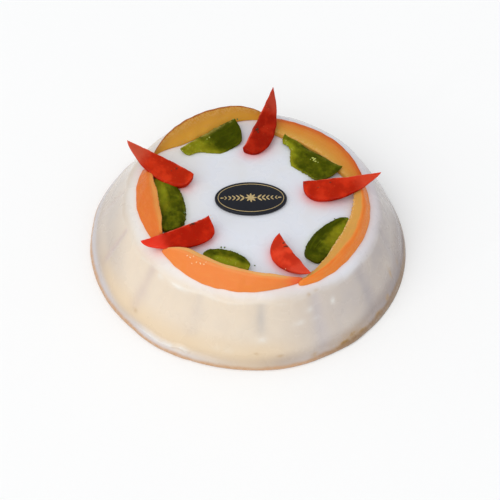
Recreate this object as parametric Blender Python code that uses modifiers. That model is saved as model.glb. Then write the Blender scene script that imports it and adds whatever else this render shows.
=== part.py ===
"""Cassata cake: a glazed cake with a panelled side and candied fruit on top.

Metres, +Z up. The origin is the centre of the cake's base, on the surface that it stands on.
Azimuths are degrees round +Z from +X, and the front of the cake is at -90.
"""
import math

import bmesh
import bpy
from mathutils import Matrix, Vector
from mathutils.bvhtree import BVHTree

# Driving dimensions of the cake
CAKE_NAME = "cassata_cake"
TOP_HEIGHT = 0.0445
SHOULDER_CENTRE_RADIUS = 0.0776
SHOULDER_ROUNDING = 0.014
SIDE_LEAN = math.radians(32.66)
FOOT_FLARE = 0.0008
ICING_THICKNESS = 0.0022
ICING_FOOT_HEIGHT = 0.0004
GAP = 0.0003
SHOULDER_STEPS = 4
TURN_STEPS = 60

# Side panels: slabs that stand round the core. The steps divide a panel from seam to seam.
PANEL_COUNT = 15
PANEL_THICKNESS = 0.004
PANEL_TOP_HEIGHT = 0.0365
SEAM_AZIMUTH = -84.4
SEAM_DEPTH = 0.0007
PANEL_STEPS = (0.0, 0.05, 0.3, 0.5, 0.7, 0.95, 1.0)
ICING_RING_HEIGHTS = (PANEL_TOP_HEIGHT, 0.020, 0.006)

# Slow unevenness of the side: waves round the cake, height of the wave, phase
SIDE_WAVES = ((2, 0.00030, 0.4), (5, 0.00016, 2.1), (9, 0.00010, 1.3))

# Oval plaque in the middle of the top
PLAQUE_LENGTH = 0.049
PLAQUE_WIDTH = 0.0295
PLAQUE_TURN = math.radians(7.0)
PLAQUE_THICKNESS = 0.0022
PLAQUE_EDGE = 0.0006
PLAQUE_CENTRE = (-0.0015, -0.0038)

# Meshes of the fruit: rings along a piece, sides round it, and how square its section is
FRUIT_RINGS = 18
FRUIT_SIDES = 12
PEEL_FULLNESS = 1.3
PEAR_FULLNESS = 1.2

# Room under a piece that lies on the icing, and under one that lies on other pieces
REST_CLEARANCE = 0.0005
PILE_CLEARANCE = 0.0014

# Orange peel: each strip curls along the rim between two azimuths. Its section has four
# corners, given as (radius, height above the top): the outer foot, the outer crest, the inner
# crest and the inner foot. The ends close on the rim. A skew over 1 moves the widest place to
# the later azimuth, and a small bluntness keeps an end wide.
PEEL_TIP_RADIUS = 0.0790
PEEL_LIFT = 0.0006
PEEL_HEIGHT_TAPER = 0.8
PEELS = (
    dict(azimuths=(154, 90), outer_foot=(0.0780, 0.0), outer_crest=(0.0815, 0.0090),
         inner_crest=(0.0785, 0.0100), inner_foot=(0.0730, 0.0), skew=1.9, blunt=(0.5, 0.45)),
    dict(azimuths=(86, 20), outer_foot=(0.0812, 0.0), outer_crest=(0.0795, 0.0022),
         inner_crest=(0.0660, 0.0042), inner_foot=(0.0650, 0.0), skew=0.95, blunt=(0.3, 0.3)),
    dict(azimuths=(13, -65), outer_foot=(0.0822, 0.0), outer_crest=(0.0765, 0.0085),
         inner_crest=(0.0675, 0.0060), inner_foot=(0.0680, 0.0), skew=0.95, blunt=(0.45, 0.5)),
    dict(azimuths=(-67, -134), outer_foot=(0.0845, 0.0), outer_crest=(0.0715, 0.0092),
         inner_crest=(0.0680, 0.0085), inner_foot=(0.0700, 0.0), skew=1.1, blunt=(0.5, 0.3)),
    dict(azimuths=(-143, -194), outer_foot=(0.0820, 0.0), outer_crest=(0.0690, 0.0098),
         inner_crest=(0.0640, 0.0090), inner_foot=(0.0670, 0.0), skew=0.85, blunt=(0.25, 0.8)),
)

# Pear pieces: a straight upper edge runs from the wide end to the tip, both given as (radius,
# azimuth, height above the top). The cut face falls from it to the bulging side, on the left
# of that line for a side of 1. The shares place the section's corners across its width.
PEAR_FACE_DROP = 0.5
PEAR_FOOT_FROM = 0.1
PEAR_FOOT_TO = 0.8
PEAR_HEIGHT_TAPER = 0.7

# Outline of a whole green pear half, as shares of its length: its rounded wide end, the
# middle of its body, and the body's reach to either side of that middle
PEAR_END = 0.12
PEAR_MIDDLE = 0.36
PEAR_REACH = 0.44

# Red pear wedges
RED_PEARS = (
    dict(wide_end=(0.0405, 104, 0.0070), tip=(0.0905, 84.7, 0.0200), width=0.0155,
         height=0.0100, side=-1, skew=0.6, blunt=(0.6, 0.85), back=0.0),
    dict(wide_end=(0.0345, 16, 0.0090), tip=(0.0870, 10.7, 0.0160), width=0.0150,
         height=0.0105, side=-1, skew=0.6, blunt=(0.6, 0.85), back=0.0),
    dict(wide_end=(0.0430, -64, 0.0090), tip=(0.0800, -60, 0.0085), width=0.0135,
         height=0.0100, side=-1, skew=0.75, blunt=(0.6, 0.85), back=0.0),
    dict(wide_end=(0.0400, -134, 0.0090), tip=(0.0885, -142, 0.0095), width=0.0150,
         height=0.0105, side=1, skew=0.5, blunt=(0.6, 0.6), back=0.0),
    dict(wide_end=(0.0410, 170, 0.0090), tip=(0.0940, 162, 0.0155), width=0.0135,
         height=0.0105, side=1, skew=0.6, blunt=(0.6, 0.85), back=0.0),
)

# Green pear: the first two show their neck, and the others bulge at the back too
GREEN_PEARS = (
    dict(wide_end=(0.0690, 102, 0.0075), tip=(0.0650, 146, 0.0035), width=0.0180,
         height=0.0080, side=1, neck=0.34, back=0.0),
    dict(wide_end=(0.0660, 25, 0.0075), tip=(0.0620, 73, 0.0045), width=0.0165,
         height=0.0080, side=1, neck=0.30, back=0.0),
    dict(wide_end=(0.0670, -17, 0.0060), tip=(0.0700, -57, 0.0050), width=0.0125,
         height=0.0100, side=-1, neck=0.0, back=0.0030),
    dict(wide_end=(0.0640, -88, 0.0060), tip=(0.0660, -119, 0.0060), width=0.0120,
         height=0.0095, side=-1, neck=0.0, back=0.0030),
    dict(wide_end=(0.0660, -142, 0.0060), tip=(0.0640, -181, 0.0060), width=0.0135,
         height=0.0100, side=-1, neck=0.0, back=0.0030),
)


# Scene and materials

def clear_scene():
    for item in list(bpy.data.objects):
        bpy.data.objects.remove(item, do_unlink=True)


def make_collection(name):
    collection = bpy.data.collections.new(name)
    bpy.context.scene.collection.children.link(collection)
    return collection


def make_material(name, colour, roughness):
    material = bpy.data.materials.new(name)
    material.use_nodes = True
    shader = material.node_tree.nodes["Principled BSDF"]
    shader.inputs["Base Color"].default_value = (*colour, 1.0)
    shader.inputs["Roughness"].default_value = roughness
    shader.inputs["Metallic"].default_value = 0.0
    return material


def add_object(name, mesh, material, collection, parent):
    item = bpy.data.objects.new(name, mesh)
    collection.objects.link(item)
    mesh.materials.append(material)
    item.parent = parent
    return item


def mesh_from(name, bm, smooth_angle):
    mesh = bpy.data.meshes.new(name)
    if bm.calc_volume(signed=True) < 0.0:
        bmesh.ops.reverse_faces(bm, faces=bm.faces)
    bm.to_mesh(mesh)
    bm.free()
    mesh.shade_smooth()
    mesh.set_sharp_from_angle(angle=math.radians(smooth_angle))
    return mesh


# Form of the cake

def polar(radius, azimuth, height):
    angle = math.radians(azimuth)
    return Vector((radius * math.cos(angle), radius * math.sin(angle), height))


def side_radius(height, depth):
    """Radius of the surface that lies a given depth inside the outer side."""
    rounding = SHOULDER_ROUNDING - depth
    tangent_height = shoulder_centre_height() + rounding * math.sin(SIDE_LEAN)
    tangent_radius = SHOULDER_CENTRE_RADIUS + rounding * math.cos(SIDE_LEAN)
    return tangent_radius + (tangent_height - height) * math.tan(SIDE_LEAN)


def shoulder_centre_height():
    return TOP_HEIGHT - SHOULDER_ROUNDING


def shoulder_arc(depth, steps):
    """Points of the rounded shoulder, from the flat top to the straight side."""
    rounding = SHOULDER_ROUNDING - depth
    points = []
    for step in range(steps + 1):
        angle = math.pi / 2 + (SIDE_LEAN - math.pi / 2) * step / steps
        radius = SHOULDER_CENTRE_RADIUS + rounding * math.cos(angle)
        height = shoulder_centre_height() + rounding * math.sin(angle)
        points.append((radius, height))
    return points


def top_surface(radius):
    """Height of the icing at a radius on the top or the shoulder."""
    reach = radius - SHOULDER_CENTRE_RADIUS
    if reach <= 0.0:
        return TOP_HEIGHT
    if reach >= SHOULDER_ROUNDING * math.cos(SIDE_LEAN):
        return 0.0
    return shoulder_centre_height() + math.sqrt(SHOULDER_ROUNDING ** 2 - reach ** 2)


def unevenness(azimuth):
    angle = math.radians(azimuth)
    return sum(height * math.sin(count * angle + phase) for count, height, phase in SIDE_WAVES)


def seam_dip(azimuth):
    """Depth of the groove over the seam between two panels."""
    pitch = 360.0 / PANEL_COUNT
    share = ((azimuth - SEAM_AZIMUTH) / pitch) % 1.0
    distance = min(share, 1.0 - share)
    return SEAM_DEPTH * max(0.0, 1.0 - distance / PANEL_STEPS[1])


# Sub-parts of the cake

def make_core(material, collection, parent):
    """Solid of revolution that fills the cake behind the panels and under the icing."""
    clear = ICING_THICKNESS + GAP
    panel_back = clear + PANEL_THICKNESS + GAP
    ledge = PANEL_TOP_HEIGHT + GAP
    profile = [(0.0, TOP_HEIGHT - clear)]
    profile += shoulder_arc(clear, SHOULDER_STEPS)[:-1]
    profile += [(side_radius(ledge, clear + GAP), ledge), (side_radius(ledge, panel_back), ledge)]
    profile += [(side_radius(0.0, panel_back), 0.0), (0.0, 0.0)]
    bm = bmesh.new()
    points = [bm.verts.new((radius, 0.0, height)) for radius, height in profile]
    for first, second in zip(points, points[1:]):
        bm.edges.new((first, second))
    mesh = bpy.data.meshes.new("cake")
    bm.to_mesh(mesh)
    bm.free()
    cake = add_object("cake", mesh, material, collection, parent)
    screw = cake.modifiers.new("Turn", "SCREW")
    screw.steps = TURN_STEPS
    screw.render_steps = TURN_STEPS
    screw.use_merge_vertices = True
    screw.merge_threshold = 0.00005
    return cake


def make_panel(index, material, collection, parent):
    """One slab of the side: a cube bent round the core, with its outer corners eased."""
    pitch = 360.0 / PANEL_COUNT
    start = SEAM_AZIMUTH + pitch * index
    cuts = len(PANEL_STEPS) - 2
    bm = bmesh.new()
    bmesh.ops.create_cube(bm, size=1.0)
    along = [edge for edge in bm.edges if abs(edge.verts[0].co.x - edge.verts[1].co.x) > 0.5]
    bmesh.ops.subdivide_edges(bm, edges=along, cuts=cuts, use_grid_fill=True)
    outer_depth = ICING_THICKNESS + GAP
    for vertex in bm.verts:
        step = round((vertex.co.x + 0.5) * (cuts + 1))
        height = PANEL_TOP_HEIGHT if vertex.co.z > 0.0 else 0.0
        outside = vertex.co.y > 0.0
        depth = outer_depth if outside else outer_depth + PANEL_THICKNESS
        azimuth = start + pitch * PANEL_STEPS[step]
        radius = side_radius(height, depth)
        if outside:
            radius += unevenness(azimuth) - seam_dip(azimuth)
        edge_gap = math.degrees(GAP / 2 / radius)
        if step == 0:
            azimuth += edge_gap
        if step == cuts + 1:
            azimuth -= edge_gap
        vertex.co = polar(radius, azimuth, height)
    name = f"side_panel_{index + 1:02d}"
    return add_object(name, mesh_from(name, bm, 30), material, collection, parent)


def make_icing(material, collection, parent):
    """Skin over the top and the side: its outline is spun, then given the seams and the waves."""
    foot = ICING_FOOT_HEIGHT
    outer = [(0.0, TOP_HEIGHT)] + shoulder_arc(0.0, SHOULDER_STEPS)
    outer += [(side_radius(height, 0.0), height) for height in ICING_RING_HEIGHTS]
    outer += [(side_radius(foot, 0.0) + FOOT_FLARE, foot)]
    inner = [(side_radius(foot, ICING_THICKNESS), foot)]
    inner += [(side_radius(height, ICING_THICKNESS), height) for height in ICING_RING_HEIGHTS[::-1]]
    inner += shoulder_arc(ICING_THICKNESS, SHOULDER_STEPS)[::-1]
    inner += [(0.0, TOP_HEIGHT - ICING_THICKNESS)]
    bm = bmesh.new()
    points = [bm.verts.new((radius, 0.0, height)) for radius, height in outer + inner]
    edges = [bm.edges.new(pair) for pair in zip(points, points[1:])]
    steps = len(PANEL_STEPS) - 1
    bmesh.ops.spin(bm, geom=points + edges, cent=(0.0, 0.0, 0.0), axis=(0.0, 0.0, 1.0),
                   angle=2.0 * math.pi, steps=PANEL_COUNT * steps, use_merge=True)
    bmesh.ops.remove_doubles(bm, verts=bm.verts, dist=0.00002)
    pitch = 360.0 / PANEL_COUNT
    for vertex in bm.verts:
        radius = vertex.co.xy.length
        if radius < 0.001:
            continue
        turn = round(math.degrees(math.atan2(vertex.co.y, vertex.co.x)) * steps / pitch)
        panel, step = divmod(turn, steps)
        azimuth = SEAM_AZIMUTH + pitch * (panel + PANEL_STEPS[step])
        share = min(max((radius - SHOULDER_CENTRE_RADIUS) / SHOULDER_ROUNDING, 0.0), 1.0)
        over_core = vertex.co.z > PANEL_TOP_HEIGHT + GAP / 2
        inside = radius < side_radius(vertex.co.z, ICING_THICKNESS / 2)
        if over_core and inside:
            share = 0.0
        relief = share * (unevenness(azimuth) - seam_dip(azimuth))
        vertex.co = polar(radius + relief, azimuth, vertex.co.z)
    return add_object("icing", mesh_from("icing", bm, 40), material, collection, parent)


def make_plaque(material, collection, parent):
    """Thin oval disc with an eased edge, lying on the icing."""
    bm = bmesh.new()
    bmesh.ops.create_cone(bm, cap_ends=True, segments=40, radius1=0.5, radius2=0.5, depth=1.0)
    stretch = Matrix.Diagonal((PLAQUE_LENGTH, PLAQUE_WIDTH, PLAQUE_THICKNESS, 1.0))
    bmesh.ops.transform(bm, matrix=stretch, verts=bm.verts)
    plaque = add_object("plaque", mesh_from("plaque", bm, 40), material, collection, parent)
    height = TOP_HEIGHT + GAP + PLAQUE_THICKNESS / 2
    plaque.location = (*PLAQUE_CENTRE, height)
    plaque.rotation_euler.z = PLAQUE_TURN
    bevel = plaque.modifiers.new("Edge", "BEVEL")
    bevel.width = PLAQUE_EDGE
    bevel.segments = 1
    bevel.limit_method = "ANGLE"
    return plaque


# Candied fruit

def swell(share, skew, blunt):
    """Taper of a piece along its length: 0 at both ends and 1 where it is widest."""
    peak = share ** skew
    bluntness = blunt[0] + (blunt[1] - blunt[0]) * share
    return max(0.0, math.sin(math.pi * peak)) ** bluntness


def pear_outline(share, neck):
    """Width of a pear piece along its length: a round body, then a neck of the given share."""
    rounded = math.sqrt(max(0.0, 1.0 - (1.0 - min(share / PEAR_END, 1.0)) ** 2))
    body = math.sqrt(max(0.0, 1.0 - ((share - PEAR_MIDDLE) / PEAR_REACH) ** 2))
    stalk = neck * math.sqrt(max(0.0, 1.0 - share ** 8))
    return rounded * max(body, stalk)


def blend_corners(corners, across, rise):
    """Point inside four corners: across runs from -1 to 1, and rise from the foot to the crest."""
    outer_foot, outer_crest, inner_crest, inner_foot = corners
    outer = outer_foot.lerp(outer_crest, (1.0 + rise) / 2)
    inner = inner_foot.lerp(inner_crest, (1.0 + rise) / 2)
    return inner.lerp(outer, (1.0 + across) / 2)


def shape_fruit(section, fullness):
    """A sphere drawn out along its poles: each ring takes the four-cornered section there.

    A fullness over 1 flattens the section's four sides and leaves its corners rounded.
    """
    bm = bmesh.new()
    bmesh.ops.create_uvsphere(bm, u_segments=FRUIT_SIDES, v_segments=FRUIT_RINGS, radius=1.0)
    for vertex in bm.verts:
        share = (1.0 + vertex.co.z) / 2
        ring = vertex.co.xy
        if ring.length > 1e-6:
            ring = ring.normalized() * fullness
        across = min(max(ring.x, -1.0), 1.0)
        rise = min(max(ring.y, -1.0), 1.0)
        vertex.co = blend_corners(section(min(max(share, 0.0), 1.0)), across, rise)
    return bm


def lay_down(bm, below):
    """Lift the vertices that reach under the icing or under the pieces that lie below."""
    for vertex in bm.verts:
        floor = top_surface(vertex.co.xy.length)
        for tree in below:
            hit = tree.ray_cast(Vector((vertex.co.x, vertex.co.y, 1.0)), Vector((0.0, 0.0, -1.0)))
            if hit[0] is not None:
                floor = max(floor, hit[0].z + PILE_CLEARANCE - REST_CLEARANCE)
        vertex.co.z = max(vertex.co.z, floor + REST_CLEARANCE)


def peel_section(peel):
    """Section of a strip of peel in the upright plane through the cake's axis."""
    first, last = peel["azimuths"]
    names = ("outer_foot", "outer_crest", "inner_crest", "inner_foot")

    def section(share):
        azimuth = first + (last - first) * share
        size = swell(share, peel["skew"], peel["blunt"])
        corners = []
        for name in names:
            radius, height = peel[name]
            radius = PEEL_TIP_RADIUS + (radius - PEEL_TIP_RADIUS) * size
            height *= size ** PEEL_HEIGHT_TAPER
            corners.append(polar(radius, azimuth, TOP_HEIGHT + PEEL_LIFT + height))
        return corners

    return section


def pear_section(pear, outline):
    """Section of a pear piece across the line from its wide end to its tip."""
    radius, azimuth, height = pear["wide_end"]
    start = polar(radius, azimuth, TOP_HEIGHT + height)
    radius, azimuth, height = pear["tip"]
    end = polar(radius, azimuth, TOP_HEIGHT + height)
    ahead = end - start
    sideways = Vector((-ahead.y, ahead.x, 0.0)).normalized() * pear["side"]
    upwards = Vector((0.0, 0.0, 1.0))
    back = pear["back"]

    def section(share):
        size = outline(share, pear)
        line = start.lerp(end, share)
        width = pear["width"] * size
        depth = pear["height"] * size ** PEAR_HEIGHT_TAPER
        foot = line - upwards * depth
        return (foot + sideways * width * PEAR_FOOT_TO,
                line + sideways * width - upwards * depth * PEAR_FACE_DROP,
                line - sideways * back * size,
                foot + sideways * width * PEAR_FOOT_FROM)

    return section


def make_peels(material, collection, parent):
    peels = []
    for index, peel in enumerate(PEELS):
        name = f"orange_peel_{index + 1}"
        bm = shape_fruit(peel_section(peel), PEEL_FULLNESS)
        lay_down(bm, [])
        peels.append(add_object(name, mesh_from(name, bm, 50), material, collection, parent))
    return peels


def make_pears(prefix, pears, outline, below, material, collection, parent):
    trees = [tree_of(item) for item in below]
    made = []
    for index, pear in enumerate(pears):
        name = f"{prefix}_{index + 1}"
        bm = shape_fruit(pear_section(pear, outline), PEAR_FULLNESS)
        lay_down(bm, trees)
        made.append(add_object(name, mesh_from(name, bm, 50), material, collection, parent))
    return made


def tree_of(item):
    vertices = [vertex.co for vertex in item.data.vertices]
    polygons = [tuple(polygon.vertices) for polygon in item.data.polygons]
    return BVHTree.FromPolygons(vertices, polygons)


def red_outline(share, pear):
    return swell(share, pear["skew"], pear["blunt"])


def green_outline(share, pear):
    if pear["neck"] > 0.0:
        return pear_outline(share, pear["neck"])
    return swell(share, 1.0, (0.6, 0.6))


def main():
    clear_scene()
    collection = make_collection(CAKE_NAME)
    root = bpy.data.objects.new(CAKE_NAME + "_origin", None)
    collection.objects.link(root)
    sponge = make_material("sponge", (0.86, 0.72, 0.52), 0.8)
    panel = make_material("panel_sponge", (0.88, 0.76, 0.58), 0.7)
    icing = make_material("sugar_icing", (0.86, 0.87, 0.90), 0.25)
    orange = make_material("candied_orange", (0.90, 0.32, 0.06), 0.3)
    red = make_material("candied_red_pear", (0.70, 0.03, 0.02), 0.25)
    green = make_material("candied_green_pear", (0.09, 0.19, 0.01), 0.25)
    chocolate = make_material("dark_plaque", (0.01, 0.01, 0.02), 0.3)
    make_core(sponge, collection, root)
    for index in range(PANEL_COUNT):
        make_panel(index, panel, collection, root)
    make_icing(icing, collection, root)
    make_plaque(chocolate, collection, root)
    peels = make_peels(orange, collection, root)
    greens = make_pears("green_pear", GREEN_PEARS, green_outline, [], green, collection, root)
    make_pears("red_pear", RED_PEARS, red_outline, peels + greens, red, collection, root)


main()
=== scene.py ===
"""Cassata cake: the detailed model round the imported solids, laid out as a Blender add-on.

Metres, +Z up. The origin is the centre of the cake's base. Azimuths are degrees round +Z from
+X, and the front of the cake is at -90.
"""
import math

import bpy
from bpy.props import FloatProperty, FloatVectorProperty, PointerProperty
from mathutils import Matrix, Vector, noise
from mathutils.bvhtree import BVHTree


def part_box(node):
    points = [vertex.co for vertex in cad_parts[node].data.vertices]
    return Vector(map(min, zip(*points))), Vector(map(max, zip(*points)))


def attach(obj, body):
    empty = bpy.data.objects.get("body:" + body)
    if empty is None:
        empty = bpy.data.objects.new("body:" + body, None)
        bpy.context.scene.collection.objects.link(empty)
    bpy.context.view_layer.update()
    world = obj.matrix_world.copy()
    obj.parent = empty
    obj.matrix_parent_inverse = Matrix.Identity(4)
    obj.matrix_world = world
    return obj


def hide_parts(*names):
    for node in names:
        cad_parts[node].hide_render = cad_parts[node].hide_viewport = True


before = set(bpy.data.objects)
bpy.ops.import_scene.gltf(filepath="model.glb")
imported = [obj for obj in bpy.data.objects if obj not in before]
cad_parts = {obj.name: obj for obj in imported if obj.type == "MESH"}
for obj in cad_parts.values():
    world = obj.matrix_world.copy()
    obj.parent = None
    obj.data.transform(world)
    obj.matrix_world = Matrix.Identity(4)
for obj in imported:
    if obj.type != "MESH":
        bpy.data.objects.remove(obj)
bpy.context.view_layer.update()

bl_info = {
    "name": "Cassata Cake",
    "version": (1, 0, 0),
    "blender": (4, 5, 0),
    "location": "3D View > Sidebar > Cassata",
    "description": "Makes a glazed cassata cake with candied fruit and its studio",
    "category": "Add Mesh",
}

MM = 0.001

# Form of the cake, as in the solids
TOP_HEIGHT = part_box("icing")[1].z
SHOULDER_CENTRE_RADIUS = 0.0776
SHOULDER_ROUNDING = 0.014
SIDE_LEAN = math.radians(32.66)
ICING_THICKNESS = 0.0022
ICING_FOOT_HEIGHT = 0.0004
THINNEST_SKIN = 0.0004
PANEL_COUNT = 15
PANEL_PITCH = 360.0 / PANEL_COUNT
PANEL_TOP_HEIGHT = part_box("side_panel_01")[1].z
SEAM_AZIMUTH = -84.4
SIDE_WAVES = ((2, 0.00030, 0.4), (5, 0.00016, 2.1), (9, 0.00010, 1.3))

# Each seam from the front one round to the right: how strongly it shows through the glaze, how
# low it can be followed, its half width, and how many degrees it stands off its even place
SEAMS = (
    (0.95, 0.0225, 0.0032, 1.0), (0.80, 0.0060, 0.0040, 0.0), (1.00, 0.0060, 0.0044, 0.4),
    (0.50, 0.0100, 0.0030, 0.0), (0.55, 0.0120, 0.0026, 0.4), (0.50, 0.0100, 0.0028, -0.5),
    (0.60, 0.0120, 0.0024, 0.0), (0.55, 0.0140, 0.0026, 0.3), (0.60, 0.0090, 0.0028, -0.4),
    (0.55, 0.0120, 0.0024, 0.0), (0.65, 0.0100, 0.0026, 0.5), (0.60, 0.0120, 0.0024, 0.0),
    (1.15, 0.0130, 0.0019, -1.0), (0.85, 0.0110, 0.0034, -1.0), (0.45, 0.0160, 0.0034, -0.6),
)

# Stains in the glaze of the side: azimuth and height, half widths in degrees and in metres, and
# strength
STAINS = (
    (-52.1, 0.0034, 2.8, 0.0024, 1.0), (-54.8, 0.0020, 2.4, 0.0018, 0.9),
    (-57.4, 0.0014, 2.2, 0.0014, 0.75), (-48.3, 0.0062, 2.8, 0.0020, 0.6),
    (-44.0, 0.0040, 3.4, 0.0022, 0.7), (-34.5, 0.0044, 2.6, 0.0020, 0.65),
    (-27.0, 0.0066, 1.5, 0.0024, 0.6), (-20.0, 0.0160, 1.1, 0.0050, 0.48),
    (-84.9, 0.0111, 1.2, 0.0010, 0.35), (-76.5, 0.0089, 1.8, 0.0011, 0.35),
    (-64.2, 0.0048, 2.0, 0.0019, 0.42), (-12.0, 0.0120, 1.1, 0.0032, 0.42),
    (-62.8, 0.0404, 1.2, 0.0011, 0.4), (-59.0, 0.0412, 1.6, 0.0009, 0.3),
    (-132.3, 0.0113, 1.3, 0.0016, 0.35), (62.0, 0.0070, 2.4, 0.0018, 0.5),
    (131.0, 0.0052, 2.6, 0.0016, 0.45), (168.0, 0.0090, 1.8, 0.0018, 0.35),
)

# Painted highlights: pale patches where the glaze of the side shines: azimuth, height, half
# widths in degrees and in metres, and strength
SHINES = (
    (-53.0, 0.0322, 1.0, 0.0018, 0.9), (-68.7, 0.0268, 2.2, 0.0014, 0.7),
    (-62.0, 0.0262, 1.6, 0.0012, 0.6), (-63.5, 0.0322, 1.6, 0.0016, 0.6),
    (-83.5, 0.0195, 2.4, 0.0018, 0.6), (-97.0, 0.0120, 6.0, 0.0024, 0.2),
    (-120.0, 0.0390, 5.0, 0.0012, 0.8), (-128.0, 0.0385, 2.0, 0.0016, 0.9),
)

# Values that change round the side: the plain value, then bells of size, azimuth and half width
# in degrees, then ripples of size, count and seed
FOOT_LEVEL = (0.0060, ((0.0040, -5.0, 28.0),), ((0.0012, 22.0, 4.0),))
FOOT_COVER = (1.0, ((-0.9, -84.0, 27.0),), ())
BASE_LEVEL = (0.0024, ((0.0022, -25.0, 38.0), (0.0012, -155.0, 22.0)),
              ((0.0007, 40.0, 9.0), (0.0004, 110.0, 5.0)))
# Painted shade low on the side, darkest on the right: its height, its strength and where the fold
# keeps it off
LOW_SHADE_LEVEL = (0.0105, ((0.0120, 5.0, 45.0), (0.0060, 1.0, 10.0)), ())
LOW_SHADE_AMOUNT = (0.20, ((0.70, 5.0, 45.0), (0.20, -76.0, 7.5), (0.12, 0.0, 9.0),
                      (-0.12, -17.0, 8.0)), ())
LOW_SHADE_COVER = (1.0, ((-0.75, -117.0, 11.0),), ())
LIP_LEVEL = (0.0057, ((0.0012, -111.6, 2.4),), ((0.0004, 60.0, 3.0),))
# Strength of the painted highlight on the ridge over the panels' ends
LEDGE_SHINE = (0.15, ((0.20, -122.0, 22.0),), ())
ROLL_AMOUNT = (0.9, (), ((0.8, 24.0, 2.0),))
ROLL_LEVEL = (0.0030, (), ((0.0012, 18.0, 8.0),))
TUCK = (0.0003, ((0.0029, 0.0, 50.0), (0.0009, -85.0, 28.0)), ())

# At the back, between these azimuths on both sides, the pooled glaze and the painted shade low on
# the side reach higher
BACK_FOOT = (135.0, 170.0)
BACK_FOOT_LIFT = 0.0015
BACK_LOW_SHADE = (140.0, 165.0)
BACK_LOW_SHADE_LIFT = 0.0060
BACK_LOW_SHADE_MORE = 0.06

# Heights on the side: where the panels end, the ridge over their ends and the seams' upper end
PANELS_FADE = (0.0381, 0.0451)
LEDGE_HEIGHT = 0.0404
LEDGE_DIP = 0.0013
LEDGE_UNEVEN = 0.0006
LEDGE_WIDTH = 0.0009
SEAM_TOP = (0.0385, 0.0415)
SEAM_FADE = 0.003
SEAM_WANDER = 0.0011
SEAM_WIDENS = (0.010, 0.035)
SEAM_WIDER = 0.35

# Relief, in metres: the very middle has none, the glaze rises to the fruit inside the second
# radius, and the side's relief is full outside the third
POLE_RADIUS = 0.001
FRUIT_RADIUS = SHOULDER_CENTRE_RADIUS + 0.010
FULL_RELIEF_RADIUS = SHOULDER_CENTRE_RADIUS + 0.014
LEDGE_RISE = 0.0002
PANEL_BULGE = 0.0003
SIDE_DENTS = 0.00035
TOP_DENTS = 0.00012
ROLL_WIDTH = 0.0024
FOOT_CUT = 0.0004
FOOT_CUT_FADE = (0.0006, 0.0016)
TUCK_FADE = (0.0, 0.022)

# The fold of glaze low on the front left, from its left end to its right one, and the groove
# under it
LIP_FROM = (-131.0, -125.0)
LIP_TO = (-109.8, -106.8)
LIP_RISE = 0.0015
LIP_WIDTH = 0.0008
LIP_POOL = 0.0006
# How strongly the fold's rise is painted as highlight
LIP_TO_SHINE = 700.0
GROOVE_FROM = (-134.0, -124.0)
GROOVE_TO = (-106.0, -98.0)
GROOVE_SHADE = 0.45
GROOVE_HEIGHT = 0.0036
GROOVE_WIDTH = 0.0014

# The wide stain at the front right: strength, azimuth and half width, and where it fades upwards
WIDE_STAIN = (0.50, -49.0, 12.0)
WIDE_STAIN_FADE = (0.0035, 0.0150)

# Painted glow: light from the fruit, reflected and shining through, painted as its colour in the
# glaze beside it, where it also lightens the contact shade: mark, pieces, reach in metres, colour
# and most
GLOWS = (
    ("red_glow", "red_wedge", 0.0026, (0.92, 0.22, 0.20), 0.72),
    ("orange_glow", "peel_strip", 0.0013, (0.90, 0.45, 0.24), 0.45),
    ("green_glow", "green_slice", 0.0010, (0.36, 0.42, 0.16), 0.30),
)
GLOW_LIMIT = 0.012
MENISCUS_REACH = 0.0010

# Tints from the cake's left to its right: where each starts and is full, how strong it gets, and
# its colour or the setting that holds it. Most are painted light and shade from the key light on
# the left: the top warmer at the left and duller at the right, the panels greyer and darker to the
# right and darker at the far left, and the last seam tint, the pooled foot and the base line
# darker at the right
TOP_TINTS = ((-0.025, -0.058, 0.7, (0.81, 0.80, 0.765)), (0.062, 0.084, 0.85, (0.70, 0.65, 0.67)))
SIDE_TINTS = ((0.0, 0.078, 1.0, (0.53, 0.475, 0.45)), (0.062, 0.100, 1.0, "shaded_cream"),
              (-0.074, -0.098, 1.0, (0.50, 0.43, 0.375)))
SEAM_TINTS = ((-0.055, -0.015, 1.0, "seam"), (0.020, 0.050, 1.0, (0.47, 0.44, 0.49)),
              (0.055, 0.075, 1.0, (0.35, 0.315, 0.335)))
FOOT_TINTS = ((0.085, 0.107, 1.0, (0.40, 0.355, 0.34)),)
BASE_TINTS = ((0.030, 0.080, 1.0, (0.27, 0.165, 0.085)),)

# Colours of small differences in the glaze and the fruit, among them painted light and shade: the
# brighter front white, the highlight white, the shade low on the side and the red edges' highlight
MOTTLED_WHITE = (0.715, 0.72, 0.745)
FRONT_WHITE = (0.765, 0.795, 0.865)
PALE_CREAM = (0.70, 0.61, 0.50)
STREAKED_CREAM = (0.62, 0.53, 0.44)
SOAKED_CREAM = (0.72, 0.555, 0.36)
PAINTED_SHINE_WHITE = (0.80, 0.79, 0.76)
LEFT_SEAM = (0.53, 0.42, 0.39)
LOW_SHADE_COLOUR = (0.225, 0.158, 0.142)
STAIN_RIM = (0.42, 0.25, 0.088)
BROWN_SPECK = (0.42, 0.28, 0.15)
PEEL_BLUSH = (0.80, 0.085, 0.030)
PAINTED_EDGE_SHINE = (0.80, 0.15, 0.09)
RED_FLECK = (0.74, 0.18, 0.05)
GREEN_STRAND = (0.085, 0.095, 0.002)
OLIVE = (0.20, 0.155, 0.004)
PALE_TUFT = (0.52, 0.52, 0.13)
SUGAR_CRUST = (0.46, 0.36, 0.09)

# Settings that the materials of all the candied fruit share
FRUIT_GLOSS = {"ior": 1.47, "coat_roughness": 0.06}

# Camera of the photograph
CAMERA_ELEVATION = math.radians(50.42)
CAMERA_ROLL = math.radians(4.28)
CAMERA_TARGET = Vector((0.0005, -0.0109, 0.0))
CAMERA_DISTANCE = 0.7205
CAMERA_LENS = 73.27
SENSOR_WIDTH = 36.0
IMAGE_SIZE = 500

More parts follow.
